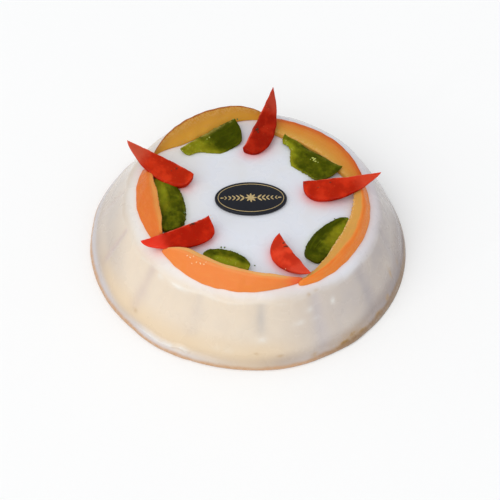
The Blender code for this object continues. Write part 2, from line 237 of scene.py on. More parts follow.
# Strips of orange peel, as in the solids but given in more places: azimuth, then the radius of
# the outer foot, the radius and height above the top of the outer crest, the same of the inner
# crest, and the radius of the inner foot, in millimetres
PEEL_LIFT = 0.0006
PEEL_END = 0.003
PEEL_BLUR = (-2.4, -1.2, 0.0, 1.2, 2.4)
PEELS = (
    dict(torn=0.0, rows=(
        (157, 78.2, 78.2, 2.0, 77.4, 2.2, 77.0), (153, 78.6, 78.4, 3.8, 77.4, 4.4, 75.6),
        (149, 78.8, 78.7, 5.6, 77.6, 6.4, 72.6), (145, 78.8, 78.9, 6.8, 77.7, 7.6, 69.8),
        (140, 78.8, 79.0, 7.8, 77.8, 8.6, 67.0), (132, 79.0, 79.4, 8.8, 78.0, 9.6, 65.6),
        (122, 79.0, 80.0, 9.4, 78.5, 10.2, 66.8), (110, 79.0, 80.4, 9.6, 78.9, 10.4, 70.2),
        (101, 79.0, 80.2, 9.2, 78.8, 10.0, 72.6), (95, 78.6, 79.4, 7.8, 78.0, 8.6, 73.6),
        (90, 78.2, 78.4, 5.6, 77.4, 6.2, 74.4), (86, 78.0, 78.0, 2.5, 77.0, 2.8, 75.6))),
    dict(torn=0.0004, rows=(
        (91, 78.4, 75.0, 2.2, 65.4, 3.4, 64.8), (80, 79.0, 75.8, 2.6, 61.8, 4.0, 61.0),
        (72, 79.6, 76.8, 2.8, 60.4, 4.2, 59.6), (60, 80.0, 77.6, 2.8, 60.0, 4.2, 59.4),
        (50, 80.8, 79.2, 2.8, 60.4, 4.2, 59.8), (40, 80.8, 79.4, 2.8, 61.4, 4.2, 60.8),
        (30, 80.2, 78.8, 2.8, 62.6, 4.2, 62.0), (23, 79.6, 78.0, 2.6, 64.6, 3.8, 64.0),
        (17, 79.0, 77.6, 2.0, 67.6, 3.0, 67.0), (12, 78.4, 77.0, 1.4, 70.4, 2.0, 70.0))),
    dict(torn=0.0022, rows=(
        (13, 78.6, 73.2, 3.4, 69.6, 3.0, 69.6), (6, 79.4, 74.0, 7.0, 68.6, 5.4, 68.8),
        (-8, 80.8, 75.4, 8.4, 67.4, 6.0, 67.8), (-18, 81.3, 76.6, 8.6, 66.8, 6.0, 67.2),
        (-28, 81.6, 77.6, 8.6, 67.6, 6.0, 67.8), (-38, 81.9, 78.4, 8.4, 68.6, 5.8, 68.8),
        (-46, 82.6, 79.2, 7.8, 72.0, 5.4, 72.2), (-54, 83.0, 80.0, 6.4, 75.0, 4.6, 75.2),
        (-61, 82.7, 80.4, 4.4, 77.8, 3.2, 77.8), (-66, 81.8, 80.4, 2.0, 79.0, 1.6, 79.0))),
    dict(torn=0.0004, rows=(
        (-62, 79.6, 79.2, 2.2, 78.0, 2.2, 78.0), (-69, 80.0, 78.6, 5.2, 76.4, 5.6, 76.6),
        (-78, 81.2, 77.2, 8.0, 73.4, 8.2, 74.0), (-87, 82.6, 75.6, 8.8, 72.0, 8.8, 72.8),
        (-95, 83.4, 74.4, 9.2, 70.2, 9.0, 71.6), (-104, 83.6, 73.2, 9.2, 69.0, 9.0, 70.6),
        (-113, 83.4, 72.6, 9.2, 68.0, 8.8, 70.0), (-123, 81.8, 72.8, 9.0, 67.6, 8.6, 70.0),
        (-129, 80.6, 74.6, 8.0, 71.4, 8.0, 72.6), (-133, 79.6, 76.6, 5.4, 75.6, 5.4, 76.0),
        (-136, 79.0, 78.3, 2.4, 77.6, 2.4, 77.8))),
    dict(torn=0.0007, rows=(
        (-141, 78.2, 75.0, 5.6, 72.4, 5.8, 73.2), (-145, 78.4, 73.0, 8.2, 70.0, 8.2, 71.2),
        (-150, 78.8, 71.8, 9.2, 67.0, 8.9, 69.2), (-157, 79.4, 70.6, 9.7, 64.8, 9.0, 67.4),
        (-165, 80.0, 70.2, 9.8, 63.8, 9.0, 66.8), (-174, 80.3, 70.6, 9.5, 64.8, 8.7, 67.2),
        (-182, 80.2, 72.0, 8.4, 67.8, 7.8, 69.4), (-188, 79.8, 73.8, 6.0, 70.8, 5.8, 71.8),
        (-193, 79.4, 76.0, 3.0, 74.4, 3.0, 75.0))),
)

# Pear pieces: a straight upper edge runs from the wide end to the tip
PEAR_FACE_DROP = 0.5
PEAR_FOOT_FROM = 0.1
PEAR_FOOT_TO = 0.8
PEAR_HEIGHT_TAPER = 0.7
PEAR_END = 0.20
PEAR_TIP = 0.10
DOME_CREST = 0.72
DOME_OUTER_DROP = 0.16
DOME_INNER_DROP = 0.30

# Meshes of the fruit: segments and rings of the ball, and the squareness of the section's upper
# and lower corners
PEEL_MESH = (64, 170)
GREEN_MESH = (64, 130)
RED_MESH = (56, 110)
PEEL_CORNERS = (4.5, 12.0)
GREEN_CORNERS = (3.2, 6.0)
RED_CORNERS = (6.0, 6.0)

# Soft dents, as deep as the unevenness where a piece is wide enough. Their noise follows the
# clock unless it has a seed
DENT_SEED = 1
DENTS_PER_METRE = 150.0
FULL_DENT_WIDTH = 0.012

# Tears at the edges: share of the depth, number in a metre and layer of the noise
TEETH = ((1.0, 480.0, 0.0), (0.7, 1400.0, 5.0))
RED_PEARS = (
    dict(wide_end=(0.0405, 104, 0.0070), tip=(0.0905, 84.7, 0.0200), width=0.0160,
         height=0.0100, side=-1, skew=0.6, blunt=(0.55, 0.85), back=0.0004, torn=0.0003),
    dict(wide_end=(0.0345, 16, 0.0090), tip=(0.0870, 10.7, 0.0160), width=0.0155,
         height=0.0105, side=-1, skew=0.6, blunt=(0.50, 0.85), back=0.0008, torn=0.0003),
    dict(wide_end=(0.0430, -64, 0.0090), tip=(0.0800, -60, 0.0085), width=0.0138,
         height=0.0100, side=-1, skew=0.75, blunt=(0.6, 0.85), back=0.0, torn=0.0003),
    dict(wide_end=(0.0405, -134.6, 0.0102), tip=(0.0885, -142, 0.0095), width=0.0162,
         height=0.0105, side=1, skew=0.5, blunt=(0.42, 0.6), back=0.0, torn=0.0005),
    dict(wide_end=(0.0422, 170, 0.0092), tip=(0.0940, 162, 0.0155), width=0.0140,
         height=0.0105, side=1, skew=0.6, blunt=(0.55, 0.75), back=0.0032, torn=0.0003),
)
GREEN_PEARS = (
    dict(wide_end=(0.0690, 104.6, 0.0078), tip=(0.0650, 145.6, 0.0040), width=0.0197,
         height=0.0082, side=1, neck=(0.42, 0.45, 0.87), back=0.0040, torn=(0.0011, 0.0003),
         shade=0.15, pale_edge=0.3, crust=0.7, least=0.0),
    dict(wide_end=(0.0662, 25.0, 0.0075), tip=(0.0612, 71.6, 0.0050), width=0.0204,
         height=0.0080, side=1, neck=(0.36, 0.56, 0.84), back=0.0008, torn=(0.0004, 0.0011),
         shade=0.5, pale_edge=0.6, crust=0.15, least=0.30),
    dict(wide_end=(0.0665, -16.0, 0.0060), tip=(0.0690, -54.5, 0.0062), width=0.0138,
         height=0.0090, side=-1, blunt=(0.40, 0.44), back=0.0080, torn=(0.0, 0.0004),
         light=(1.0, 0.30), least=0.0),
    dict(wide_end=(0.0655, -89.0, 0.0060), tip=(0.0655, -116.5, 0.0068), width=0.0135,
         height=0.0090, side=-1, blunt=(0.50, 0.42), back=0.0080, torn=(0.0, 0.0006),
         light=(1.4, 0.45), least=0.35),
    dict(wide_end=(0.0665, -142.5, 0.0068), tip=(0.0655, -186.0, 0.0066), width=0.0162,
         height=0.0090, side=-1, blunt=(0.40, 0.40), back=0.0085, torn=(0.0, 0.0006),
         light=(1.0, 0.70), least=0.38),
)


# Settings that a user would change

def length_setting(name, description, default, low, high):
    return FloatProperty(name=name, description=description, default=default, min=low, max=high,
                         unit="LENGTH")


def colour_setting(name, description, default):
    return FloatVectorProperty(name=name, description=description, default=default,
                               subtype="COLOR", size=3, min=0.0, max=1.0)


class CakeSettings(bpy.types.PropertyGroup):
    """Sizes and colours of the glaze"""
    seam_depth: length_setting(
        "Seam depth", "Depth of the glaze's dip over a seam", 0.0006, 0.0, 0.0015)
    foot_roll: length_setting(
        "Foot roll", "How far the pooled glaze bulges at the foot", 0.0007, 0.0, 0.002)
    meniscus: length_setting(
        "Meniscus", "How high the glaze climbs against the fruit", 0.0009, 0.0, 0.002)
    white: colour_setting(
        "Glaze", "Colour of the sugar glaze on the top", (0.73, 0.76, 0.83))
    cream: colour_setting(
        "Cream", "Colour of the panels seen through the glaze", (0.735, 0.62, 0.49))
    # Painted shade: the panels as they look on the shaded right of the cake
    shaded_cream: colour_setting(
        "Greyer cream", "Colour of the panels on the cake's right", (0.40, 0.345, 0.33))
    seam: colour_setting(
        "Seam", "Colour of the seams between the panels", (0.44, 0.415, 0.405))
    foot: colour_setting(
        "Foot", "Colour of the thicker glaze at the foot", (0.635, 0.61, 0.625))
    # The base line is partly wet cake and partly painted contact shade
    base: colour_setting(
        "Base line", "Colour of the wet cake at the very foot", (0.52, 0.30, 0.16))
    stain: colour_setting(
        "Stain", "Colour of the stains low on the side", (0.29, 0.165, 0.035))
    sponge: colour_setting("Sponge", "Colour of the cake inside", (0.78, 0.60, 0.36))


class FruitSettings(bpy.types.PropertyGroup):
    """Sizes and colours of the candied fruit"""
    sink: length_setting("Sink", "How far the fruit sinks into the glaze", 0.0002, 0.0, 0.001)
    wobble: length_setting(
        "Unevenness", "Size of the soft dents in the fruit", 0.00045, 0.0, 0.001)
    seed_length: length_setting("Seed length", "Length of a pear seed", 0.0016, 0.0005, 0.004)
    red: colour_setting("Red pear", "Colour of the red pear", (0.47, 0.0150, 0.0028))
    # Painted light: the tip as it looks with light shining through the thin flesh
    lit_red_tip: colour_setting(
        "Red pear tip", "Colour of the clearer tip of a red piece", (0.59, 0.066, 0.030))
    green: colour_setting("Green pear", "Colour of the green pear", (0.050, 0.062, 0.0005))
    green_edge: colour_setting(
        "Green pear edge", "Colour of the clearer neck and edges", (0.238, 0.256, 0.009))
    seed: colour_setting("Seed", "Colour of the pear seeds", (0.045, 0.012, 0.006))


class PlaqueSettings(bpy.types.PropertyGroup):
    """Sizes and colours of the oval plaque"""
    rule_width: length_setting(
        "Rule width", "Width of the gold line round the plaque", 0.00045, 0.0002, 0.001)
    rule_inset: length_setting(
        "Rule inset", "Distance from the plaque's edge to the gold line", 0.0022, 0.001, 0.006)
    dark: colour_setting("Plaque", "Colour of the dark plaque", (0.005, 0.006, 0.010))
    gold: colour_setting("Gold", "Colour of the ornament on the plaque", (0.56, 0.44, 0.22))


class StudioSettings(bpy.types.PropertyGroup):
    """Floor and lights"""
    floor_size: length_setting("Floor size", "Width of the floor", 6.0, 1.0, 20.0)
    key_strength: FloatProperty(
        name="Key light", description="Strength of the wide soft light on the left",
        default=1.62, min=0.0, max=20.0)
    glint_power: FloatProperty(
        name="Small light", description="Power of the small light that makes glints, in watts",
        default=0.6, min=0.0, max=100.0)
    sky: FloatProperty(
        name="Sky", description="Brightness of the even light from all round", default=0.635,
        min=0.0, max=5.0)


GROUPS = {"cassata_cake": CakeSettings, "cassata_fruit": FruitSettings,
          "cassata_plaque": PlaqueSettings, "cassata_studio": StudioSettings}


# Form of the cake

def polar(radius, azimuth, height):
    angle = math.radians(azimuth)
    return Vector((radius * math.cos(angle), radius * math.sin(angle), height))


def side_radius(height, depth):
    """Radius of the straight side, a given depth inside the outer surface."""
    rounding = SHOULDER_ROUNDING - depth
    tangent_height = TOP_HEIGHT - SHOULDER_ROUNDING + rounding * math.sin(SIDE_LEAN)
    tangent_radius = SHOULDER_CENTRE_RADIUS + rounding * math.cos(SIDE_LEAN)
    return tangent_radius + (tangent_height - height) * math.tan(SIDE_LEAN)


def shoulder_arc(depth, steps):
    """Points of the rounded shoulder, from the flat top to the straight side."""
    rounding = SHOULDER_ROUNDING - depth
    points = []
    for step in range(steps + 1):
        angle = math.pi / 2 + (SIDE_LEAN - math.pi / 2) * step / steps
        points.append((SHOULDER_CENTRE_RADIUS + rounding * math.cos(angle),
                       TOP_HEIGHT - SHOULDER_ROUNDING + rounding * math.sin(angle)))
    return points


def top_surface(radius):
    """Height of the glaze at a radius on the top or the shoulder."""
    reach = radius - SHOULDER_CENTRE_RADIUS
    if reach <= 0.0:
        return TOP_HEIGHT
    if reach >= SHOULDER_ROUNDING * math.cos(SIDE_LEAN):
        return 0.0
    return TOP_HEIGHT - SHOULDER_ROUNDING + math.sqrt(SHOULDER_ROUNDING ** 2 - reach ** 2)


def smooth(value, low, high):
    """0 below low, 1 above high and an eased rise between."""
    share = min(max((value - low) / (high - low), 0.0), 1.0)
    return share * share * (3.0 - 2.0 * share)


def bell(value, centre, width):
    return math.exp(-((value - centre) / width) ** 2)


def ring_noise(azimuth, bumps, seed):
    """Noise that closes on itself round the cake, from -1 to 1."""
    angle = math.radians(azimuth)
    size = bumps / math.tau
    return noise.noise(Vector((math.cos(angle) * size, math.sin(angle) * size, seed)))


def value_at(azimuth, values):
    """A value that changes round the side, from its plain value, bells and ripples."""
    value, bells, ripples = values
    for size, centre, width in bells:
        value += size * bell(azimuth, centre, width)
    for size, bumps, seed in ripples:
        value += size * ring_noise(azimuth, bumps, seed)
    return value


def sight_line(pixel):
    """Camera position and direction through a pixel of the photograph."""
    turn = camera_matrix()
    scale = SENSOR_WIDTH / CAMERA_LENS / IMAGE_SIZE
    middle = IMAGE_SIZE / 2
    aim = Vector(((pixel[0] - middle) * scale, (middle - pixel[1]) * scale, -1.0))
    return turn.translation, (turn.to_3x3() @ aim).normalized()


def camera_matrix():
    back = Vector((0.0, -math.cos(CAMERA_ELEVATION), math.sin(CAMERA_ELEVATION)))
    tilt = Matrix.Rotation(math.pi / 2 - CAMERA_ELEVATION, 4, "X")
    roll = Matrix.Rotation(CAMERA_ROLL, 4, "Z")
    return Matrix.Translation(CAMERA_TARGET + back * CAMERA_DISTANCE) @ tilt @ roll


# Objects

def deselect_all():
    if bpy.context.mode != "OBJECT":
        bpy.ops.object.mode_set(mode="OBJECT")
    bpy.ops.object.select_all(action="DESELECT")


def select(pieces):
    deselect_all()
    for piece in pieces:
        piece.select_set(True)
    bpy.context.view_layer.objects.active = pieces[0]


def newest(name):
    piece = bpy.context.object
    piece.name = name
    piece.data.name = name
    return piece


def edit(piece, *steps):
    """Run edit-mode operators on all of a piece."""
    select([piece])
    bpy.ops.object.mode_set(mode="EDIT")
    bpy.ops.mesh.select_all(action="SELECT")
    for step in steps:
        step()
    bpy.ops.object.mode_set(mode="OBJECT")


def face_outwards():
    bpy.ops.mesh.normals_make_consistent(inside=False)


def apply_place(piece):
    select([piece])
    bpy.ops.object.transform_apply(location=True, rotation=True, scale=True)


def join(pieces, name):
    select(pieces)
    if len(pieces) > 1:
        bpy.ops.object.join()
    return newest(name)


def smooth_shade(piece, angle):
    select([piece])
    bpy.ops.object.shade_smooth_by_angle(angle=math.radians(angle))


def tree_of(piece):
    mesh = piece.data
    return BVHTree.FromPolygons([vertex.co for vertex in mesh.vertices],
                                [tuple(polygon.vertices) for polygon in mesh.polygons])


def dress(piece, material):
    piece.data.materials.clear()
    piece.data.materials.append(material)


def add_marks(mesh, names):
    """Add every point attribute first, because adding one moves the data of the others."""
    for name in names:
        mesh.attributes.new(name, "FLOAT", "POINT")
    return {name: mesh.attributes[name].data for name in names}


def finish_piece(piece, material, slot, *nodes):
    dress(piece, material)
    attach(piece, "root")
    if nodes:
        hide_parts(*nodes)


# Materials

class Recipe:
    """Node tree of one material, with a short call for each kind of node."""

    def __init__(self, name, **constants):
        self.material = bpy.data.materials.new(name)
        self.material.use_nodes = True
        self.nodes = self.material.node_tree.nodes
        self.links = self.material.node_tree.links
        self.shader = self.nodes["Principled BSDF"]
        for key, value in constants.items():
            socket = key.replace("_", " ").title().replace("Ior", "IOR")
            self.shader.inputs[socket].default_value = value
        self.place = self.nodes.new("ShaderNodeTexCoord").outputs["Object"]

    def set(self, socket, value):
        if isinstance(value, bpy.types.NodeSocket):
            self.links.new(value, socket)
        elif value is not None:
            if socket.type == "RGBA" and len(value) == 3:
                value = (*value, 1.0)
            socket.default_value = value

    def noise(self, scale, detail=2.0, roughness=0.5, vector=None):
        node = self.nodes.new("ShaderNodeTexNoise")
        self.set(node.inputs["Vector"], vector or self.place)
        self.set(node.inputs["Scale"], scale)
        self.set(node.inputs["Detail"], detail)
        self.set(node.inputs["Roughness"], roughness)
        return node.outputs["Fac"]

    def stretch(self, vector, factors):
        node = self.nodes.new("ShaderNodeVectorMath")
        node.operation = "MULTIPLY"
        self.set(node.inputs[0], vector)
        self.set(node.inputs[1], factors)
        return node.outputs[0]

    def cells(self, scale):
        node = self.nodes.new("ShaderNodeTexVoronoi")
        self.set(node.inputs["Vector"], self.place)
        self.set(node.inputs["Scale"], scale)
        return node.outputs["Distance"]

    def maths(self, operation, first, second):
        node = self.nodes.new("ShaderNodeMath")
        node.operation = operation
        for socket, value in zip(node.inputs, (first, second)):
            self.set(socket, value)
        return node.outputs[0]

    def plus(self, first, second):
        return self.maths("ADD", first, second)

    def minus(self, first, second):
        return self.maths("SUBTRACT", first, second)

    def times(self, first, second):
        return self.maths("MULTIPLY", first, second)

    def swing(self, pattern, size):
        """A noise that drifts to both sides of zero, instead of from 0 to 1."""
        return self.times(self.minus(pattern, 0.5), size)

    def mark(self, name):
        return self.attribute(name).outputs["Fac"]

    def band(self, value, low, high, start=0.0, end=1.0):
        """Eased step from start to end while the value goes from low to high."""
        node = self.nodes.new("ShaderNodeMapRange")
        node.interpolation_type = "SMOOTHSTEP"
        for socket, item in zip(node.inputs, (value, low, high, start, end)):
            self.set(socket, item)
        return node.outputs[0]

    def mix(self, share, first, second):
        node = self.nodes.new("ShaderNodeMix")
        node.data_type = "RGBA"
        self.set(node.inputs["Factor"], share)
        colours = [socket for socket in node.inputs if socket.type == "RGBA"]
        self.set(colours[0], first)
        self.set(colours[1], second)
        return next(socket for socket in node.outputs if socket.type == "RGBA")

    def attribute(self, name):
        node = self.nodes.new("ShaderNodeAttribute")
        node.attribute_name = name
        return node

    def split(self, vector):
        node = self.nodes.new("ShaderNodeSeparateXYZ")
        self.links.new(vector, node.inputs[0])
        return node.outputs[0], node.outputs[1], node.outputs[2]

    def bump(self, height, distance, strength=1.0, before=None):
        node = self.nodes.new("ShaderNodeBump")
        node.inputs["Strength"].default_value = strength
        node.inputs["Distance"].default_value = distance
        self.links.new(height, node.inputs["Height"])
        self.set(node.inputs["Normal"], before)
        return node.outputs[0]

    def finish(self, colour, roughness=None, normal=None):
        self.set(self.shader.inputs["Base Color"], colour)
        self.set(self.shader.inputs["Roughness"], roughness)
        self.set(self.shader.inputs["Normal"], normal)
        return self.material


def colour_of(group, name):
    return tuple(getattr(getattr(bpy.context.scene, group), name))


def tinted(r, colour, east, tints):
    for start, end, most, tint in tints:
        tint = colour_of("cassata_cake", tint) if isinstance(tint, str) else tint
        colour = r.mix(r.band(east, start, end, 0.0, most), colour, tint)
    return colour


def top_colour(r, east, north, mottle):
    """White glaze of the top, brighter in front, warmer at the left and duller at the right."""
    # Painted light and shade: brighter in front, warmer at the left and duller at the right
    white = r.mix(r.band(mottle, 0.35, 0.68), colour_of("cassata_cake", "white"), MOTTLED_WHITE)
    white = r.mix(r.band(north, 0.0, -0.05, 0.0, 0.8), white, FRONT_WHITE)
    return tinted(r, white, east, TOP_TINTS)


def side_colour(r, east, height, streaks):
    """Cream of the panels under the thin glaze, warmer low at the front and the left."""
    # The side tints are painted shade: greyer and darker towards the right and at the far left
    side = tinted(r, colour_of("cassata_cake", "cream"), east, SIDE_TINTS)
    patches = r.band(r.noise(32.0, 2.0), 0.38, 0.72, 0.0, 0.35)
    side = r.mix(patches, side, PALE_CREAM)
    side = r.mix(r.band(streaks, 0.30, 0.80, 0.0, 0.3), side, STREAKED_CREAM)
    low = r.times(r.band(height, 0.024, 0.009, 0.0, 0.75), r.band(east, 0.050, 0.010))
    low = r.times(low, r.band(east, -0.106, -0.092, 0.2, 1.0))
    return r.mix(low, side, SOAKED_CREAM)


def panels_show(r, east, north, height, mottle):
    """How much the panels show: not on the top, fully on the side, with an uneven border."""
    lifted = r.plus(height, r.swing(mottle, 0.004))
    lifted = r.minus(lifted, r.band(east, -0.02, -0.085, 0.0, 0.0013))
    lifted = r.minus(lifted, r.band(north, -0.058, -0.082, 0.0, 0.0014))
    right_front = r.times(r.band(east, 0.045, 0.062), r.band(east, 0.092, 0.078))
    lifted = r.plus(lifted, r.times(right_front, 0.0010))
    return r.band(lifted, *PANELS_FADE, 1.0, 0.0)


def make_glaze_material():
    cake = "cassata_cake"
    r = Recipe("sugar_glaze", ior=1.48, specular_ior_level=0.4, coat_weight=0.35,
               coat_roughness=0.12, subsurface_weight=0.15, subsurface_scale=0.004,
               subsurface_radius=(1.0, 0.9, 0.8))
    east, north, height = r.split(r.place)
    mottle = r.noise(45.0, 3.0)
    streaks = r.noise(130.0, 3.0, 0.5, r.stretch(r.place, (1.0, 1.0, 0.22)))
    through = panels_show(r, east, north, height, mottle)
    colour = r.mix(through, top_colour(r, east, north, mottle),
                   side_colour(r, east, height, streaks))
    # Painted highlights: the ridge over the panels' ends, the fold's crest and the pale shining
    # patches
    painted_shine = r.times(r.mark("painted_shine"), r.band(streaks, 0.35, 0.6, 0.30, 0.85))
    colour = r.mix(painted_shine, colour, PAINTED_SHINE_WHITE)
    # The seam mark also holds the painted shade in the groove under the fold
    seam = r.times(r.mark("seam"), 0.58)
    colour = r.mix(seam, colour, tinted(r, LEFT_SEAM, east, SEAM_TINTS))
    # Glaze pooled at the foot; its tint at the far right is painted shade
    foot = r.times(r.mark("foot"), r.band(mottle, 0.3, 0.6, 0.75, 1.0))
    colour = r.mix(foot, colour, tinted(r, colour_of(cake, "foot"), east, FOOT_TINTS))
    # Painted shade low on the side, darkest on the right
    colour = r.mix(r.mark("low_shade"), colour, LOW_SHADE_COLOUR)
    stain = r.times(r.mark("stain"), r.band(r.noise(210.0, 3.0, 0.6), 0.20, 0.55, 0.55, 1.0))
    colour = r.mix(r.band(stain, 0.0, 0.7, 0.0, 0.85), colour, STAIN_RIM)
    colour = r.mix(r.band(stain, 0.38, 0.82, 0.0, 0.95), colour, colour_of(cake, "stain"))
    specks = r.times(r.band(r.cells(230.0), 0.12, 0.04), through)
    specks = r.times(specks, r.band(r.noise(35.0), 0.58, 0.68, 0.0, 0.4))
    colour = r.mix(specks, colour, BROWN_SPECK)
    # The brown line at the very foot: partly wet cake, partly painted contact shade, darker on the
    # right
    wet_and_shade = r.times(r.mark("base"), r.band(r.noise(420.0, 3.0), 0.3, 0.6, 0.75, 1.0))
    colour = r.mix(wet_and_shade, colour, tinted(r, colour_of(cake, "base"), east, BASE_TINTS))
    # Painted glow of light from the fruit in the glaze beside it
    for name, _, _, tint, most in GLOWS:
        colour = r.mix(r.times(r.mark(name), most), colour, tint)
    bump = r.bump(r.noise(60.0, 2.0), 0.0004, 0.4)
    return r.finish(colour, r.band(mottle, 0.3, 0.7, 0.22, 0.34), bump)


def make_peel_material(index, outer, face, rim, edge, pale, blush=0.0, inner=None):
    """Candied peel: outer wall, upper and inner faces, the line at its rim and its torn edge."""
    r = Recipe(f"candied_peel_{index}", specular_ior_level=0.03, coat_weight=0.12,
               subsurface_weight=0.25, subsurface_scale=0.003,
               subsurface_radius=(1.0, 0.45, 0.12), **FRUIT_GLOSS)
    form = r.attribute("form").outputs["Vector"]
    share, across, rise = r.split(form)
    mottle = r.noise(110.0, 3.0)
    strands = r.noise(1.0, 3.0, 0.5, r.stretch(form, (9.0, 5.0, 3.0)))
    fine = r.noise(700.0, 3.0)
    outside = r.band(r.plus(across, r.swing(strands, 0.5)), *outer[1])
    # On the first strip the inner tint grows towards the foot: painted light cast up by the glaze
    if inner:
        inside = r.times(r.band(across, 0.1, -0.85), r.band(rise, *inner[1]))
        face = r.mix(inside, face, inner[0])
    colour = r.mix(outside, face, outer[0])
    colour = r.mix(r.band(strands, 0.45, 0.75, 0.0, 0.45), colour, edge)
    rim_colour, rim_end, rim_width, rim_rise, rim_most = rim
    line = r.times(r.band(across, rim_end - rim_width, rim_end), r.band(rise, *rim_rise))
    colour = r.mix(r.times(line, rim_most), colour, rim_colour)
    torn = r.times(r.band(across, -0.55, -0.95), r.band(rise, 0.1, 0.8))
    torn = r.times(torn, r.band(fine, 0.42, 0.58))
    colour = r.mix(r.times(torn, 0.7), colour, pale)
    ends = r.maths("MAXIMUM", r.band(share, 0.07, 0.0), r.band(share, 0.94, 1.0))
    colour = r.mix(r.times(ends, 0.5), colour, outer[0])
    colour = r.mix(r.band(share, 0.17, 0.04, 0.0, blush), colour, PEEL_BLUSH)
    bump = r.bump(mottle, 0.0004, 0.5)
    bump = r.bump(r.band(r.cells(620.0), 0.0, 0.35), 0.00003, 0.25, bump)
    return r.finish(colour, r.band(fine, 0.3, 0.7, 0.20, 0.36), bump)


def make_red_material(index, body, tip):
    """Candied red pear, with how bright this piece's body and tip are in each colour."""
    fruit = "cassata_fruit"
    r = Recipe(f"candied_red_pear_{index}", specular_ior_level=0.0, coat_weight=0.07,
               subsurface_weight=0.35, subsurface_scale=0.004,
               subsurface_radius=(1.0, 0.16, 0.10), **FRUIT_GLOSS)
    along, across, rise = r.split(r.attribute("form").outputs["Vector"])
    mottle = r.noise(120.0, 3.0)
    grain = r.noise(900.0, 3.0, 0.6)
    red = [share * value for share, value in zip(body, colour_of(fruit, "red"))]
    lit_red_tip = [share * value for share, value in zip(tip, colour_of(fruit, "lit_red_tip"))]
    deep = (0.68 * red[0], 0.50 * red[1], 0.50 * red[2])
    bright = (1.28 * red[0], 0.006 + 2.2 * red[1], 0.004 + 3.0 * red[2])
    colour = r.mix(r.band(mottle, 0.38, 0.66), deep, red)
    flesh = r.times(r.band(rise, 0.70, 0.97), r.band(mottle, 0.42, 0.72, 0.2, 0.6))
    colour = r.mix(flesh, colour, bright)
    # Painted light: the tip lighter, as where light shines through the thin flesh
    lit_tip = r.band(r.plus(along, r.times(mottle, 0.16)), 0.67, 0.88, 0.0, 0.9)
    colour = r.mix(lit_tip, colour, lit_red_tip)
    # Painted highlight along the upper edge
    edge = r.times(r.band(across, -0.74, -0.90), r.band(rise, 0.5, 0.85))
    edge = r.times(edge, r.band(mottle, 0.40, 0.60, 0.1, 0.7))
    colour = r.mix(edge, colour, PAINTED_EDGE_SHINE)
    flecks = r.times(r.band(grain, 0.64, 0.74), r.band(rise, 0.3, 0.9, 0.05, 0.4))
    colour = r.mix(flecks, colour, RED_FLECK)
    bump = r.bump(mottle, 0.0005, 0.5)
    bump = r.bump(grain, 0.00005, 0.4, bump)
    return r.finish(colour, r.band(grain, 0.3, 0.7, 0.16, 0.30), bump)


def make_green_material():
    """Candied green pear: dark flesh, clearer where a piece is thin, with a crust on torn edges."""
    fruit = "cassata_fruit"
    r = Recipe("candied_green_pear", specular_ior_level=0.0, coat_weight=0.07,
               subsurface_weight=0.25, subsurface_scale=0.003,
               subsurface_radius=(0.5, 1.0, 0.08), **FRUIT_GLOSS)
    form = r.attribute("form").outputs["Vector"]
    mottle = r.noise(120.0, 3.0)
    strands = r.noise(1.0, 2.0, 0.5, r.stretch(form, (3.0, 3.2, 2.0)))
    blotch = r.noise(190.0, 3.0, 0.6)
    grain = r.noise(800.0, 3.0, 0.6)
    green = colour_of(fruit, "green")
    deep = tuple(0.70 * value for value in green)
    colour = r.mix(r.band(mottle, 0.35, 0.65), deep, green)
    colour = r.mix(r.band(strands, 0.48, 0.66, 0.0, 0.5), colour, GREEN_STRAND)
    clear = r.plus(r.mark("clear"), r.swing(blotch, 1.1))
    light = r.mix(r.band(mottle, 0.42, 0.60, 0.0, 0.45), colour_of(fruit, "green_edge"), OLIVE)
    colour = r.mix(r.band(clear, 0.10, 1.05), colour, light)
    tufts = r.times(r.band(clear, 0.75, 1.15), r.band(grain, 0.56, 0.70, 0.0, 0.55))
    colour = r.mix(tufts, colour, PALE_TUFT)
    crust = r.times(r.mark("crust"), r.band(blotch, 0.38, 0.58, 0.1, 0.8))
    colour = r.mix(crust, colour, SUGAR_CRUST)
    bump = r.bump(strands, 0.0005, 0.6)
    bump = r.bump(blotch, 0.0004, 0.6, bump)
    bump = r.bump(grain, 0.00004, 0.4, bump)
    return r.finish(colour, r.band(grain, 0.3, 0.7, 0.14, 0.28), bump)


def make_seed_material():
    r = Recipe("pear_seed", specular_ior_level=0.1, coat_weight=0.05, coat_roughness=0.15)
    colour = r.mix(r.noise(1500.0, 3.0), colour_of("cassata_fruit", "seed"), (0.12, 0.035, 0.015))
    return r.finish(colour, 0.35, r.bump(r.noise(2500.0), 0.0001, 0.5))


def make_crumb_material():
    r = Recipe("green_crumb", coat_weight=0.6, coat_roughness=0.1)
    colour = r.mix(r.noise(900.0, 3.0), (0.03, 0.08, 0.004), (0.16, 0.24, 0.02))
    return r.finish(colour, 0.3, r.bump(r.noise(2500.0), 0.0001, 0.5))


# Pale grains that stand for the glints on the peel and the red pear: painted highlights
def make_grain_material():
    r = Recipe("sugar_grain", ior=1.5, coat_weight=0.6, coat_roughness=0.08)
    colour = r.mix(r.noise(1200.0, 2.0), (0.93, 0.52, 0.22), (0.95, 0.68, 0.40))
    return r.finish(colour, 0.2, r.bump(r.noise(2500.0), 0.00008, 0.4))


# Drops of clear sugar on the green pear, most of them painted glints
def make_clear_material():
    r = Recipe("clear_sugar_and_glints", ior=1.5, coat_weight=0.4, coat_roughness=0.08)
    colour = r.mix(r.noise(1200.0, 2.0), (0.33, 0.36, 0.03), (0.52, 0.54, 0.13))
    return r.finish(colour, 0.2, r.bump(r.noise(2500.0), 0.00008, 0.4))


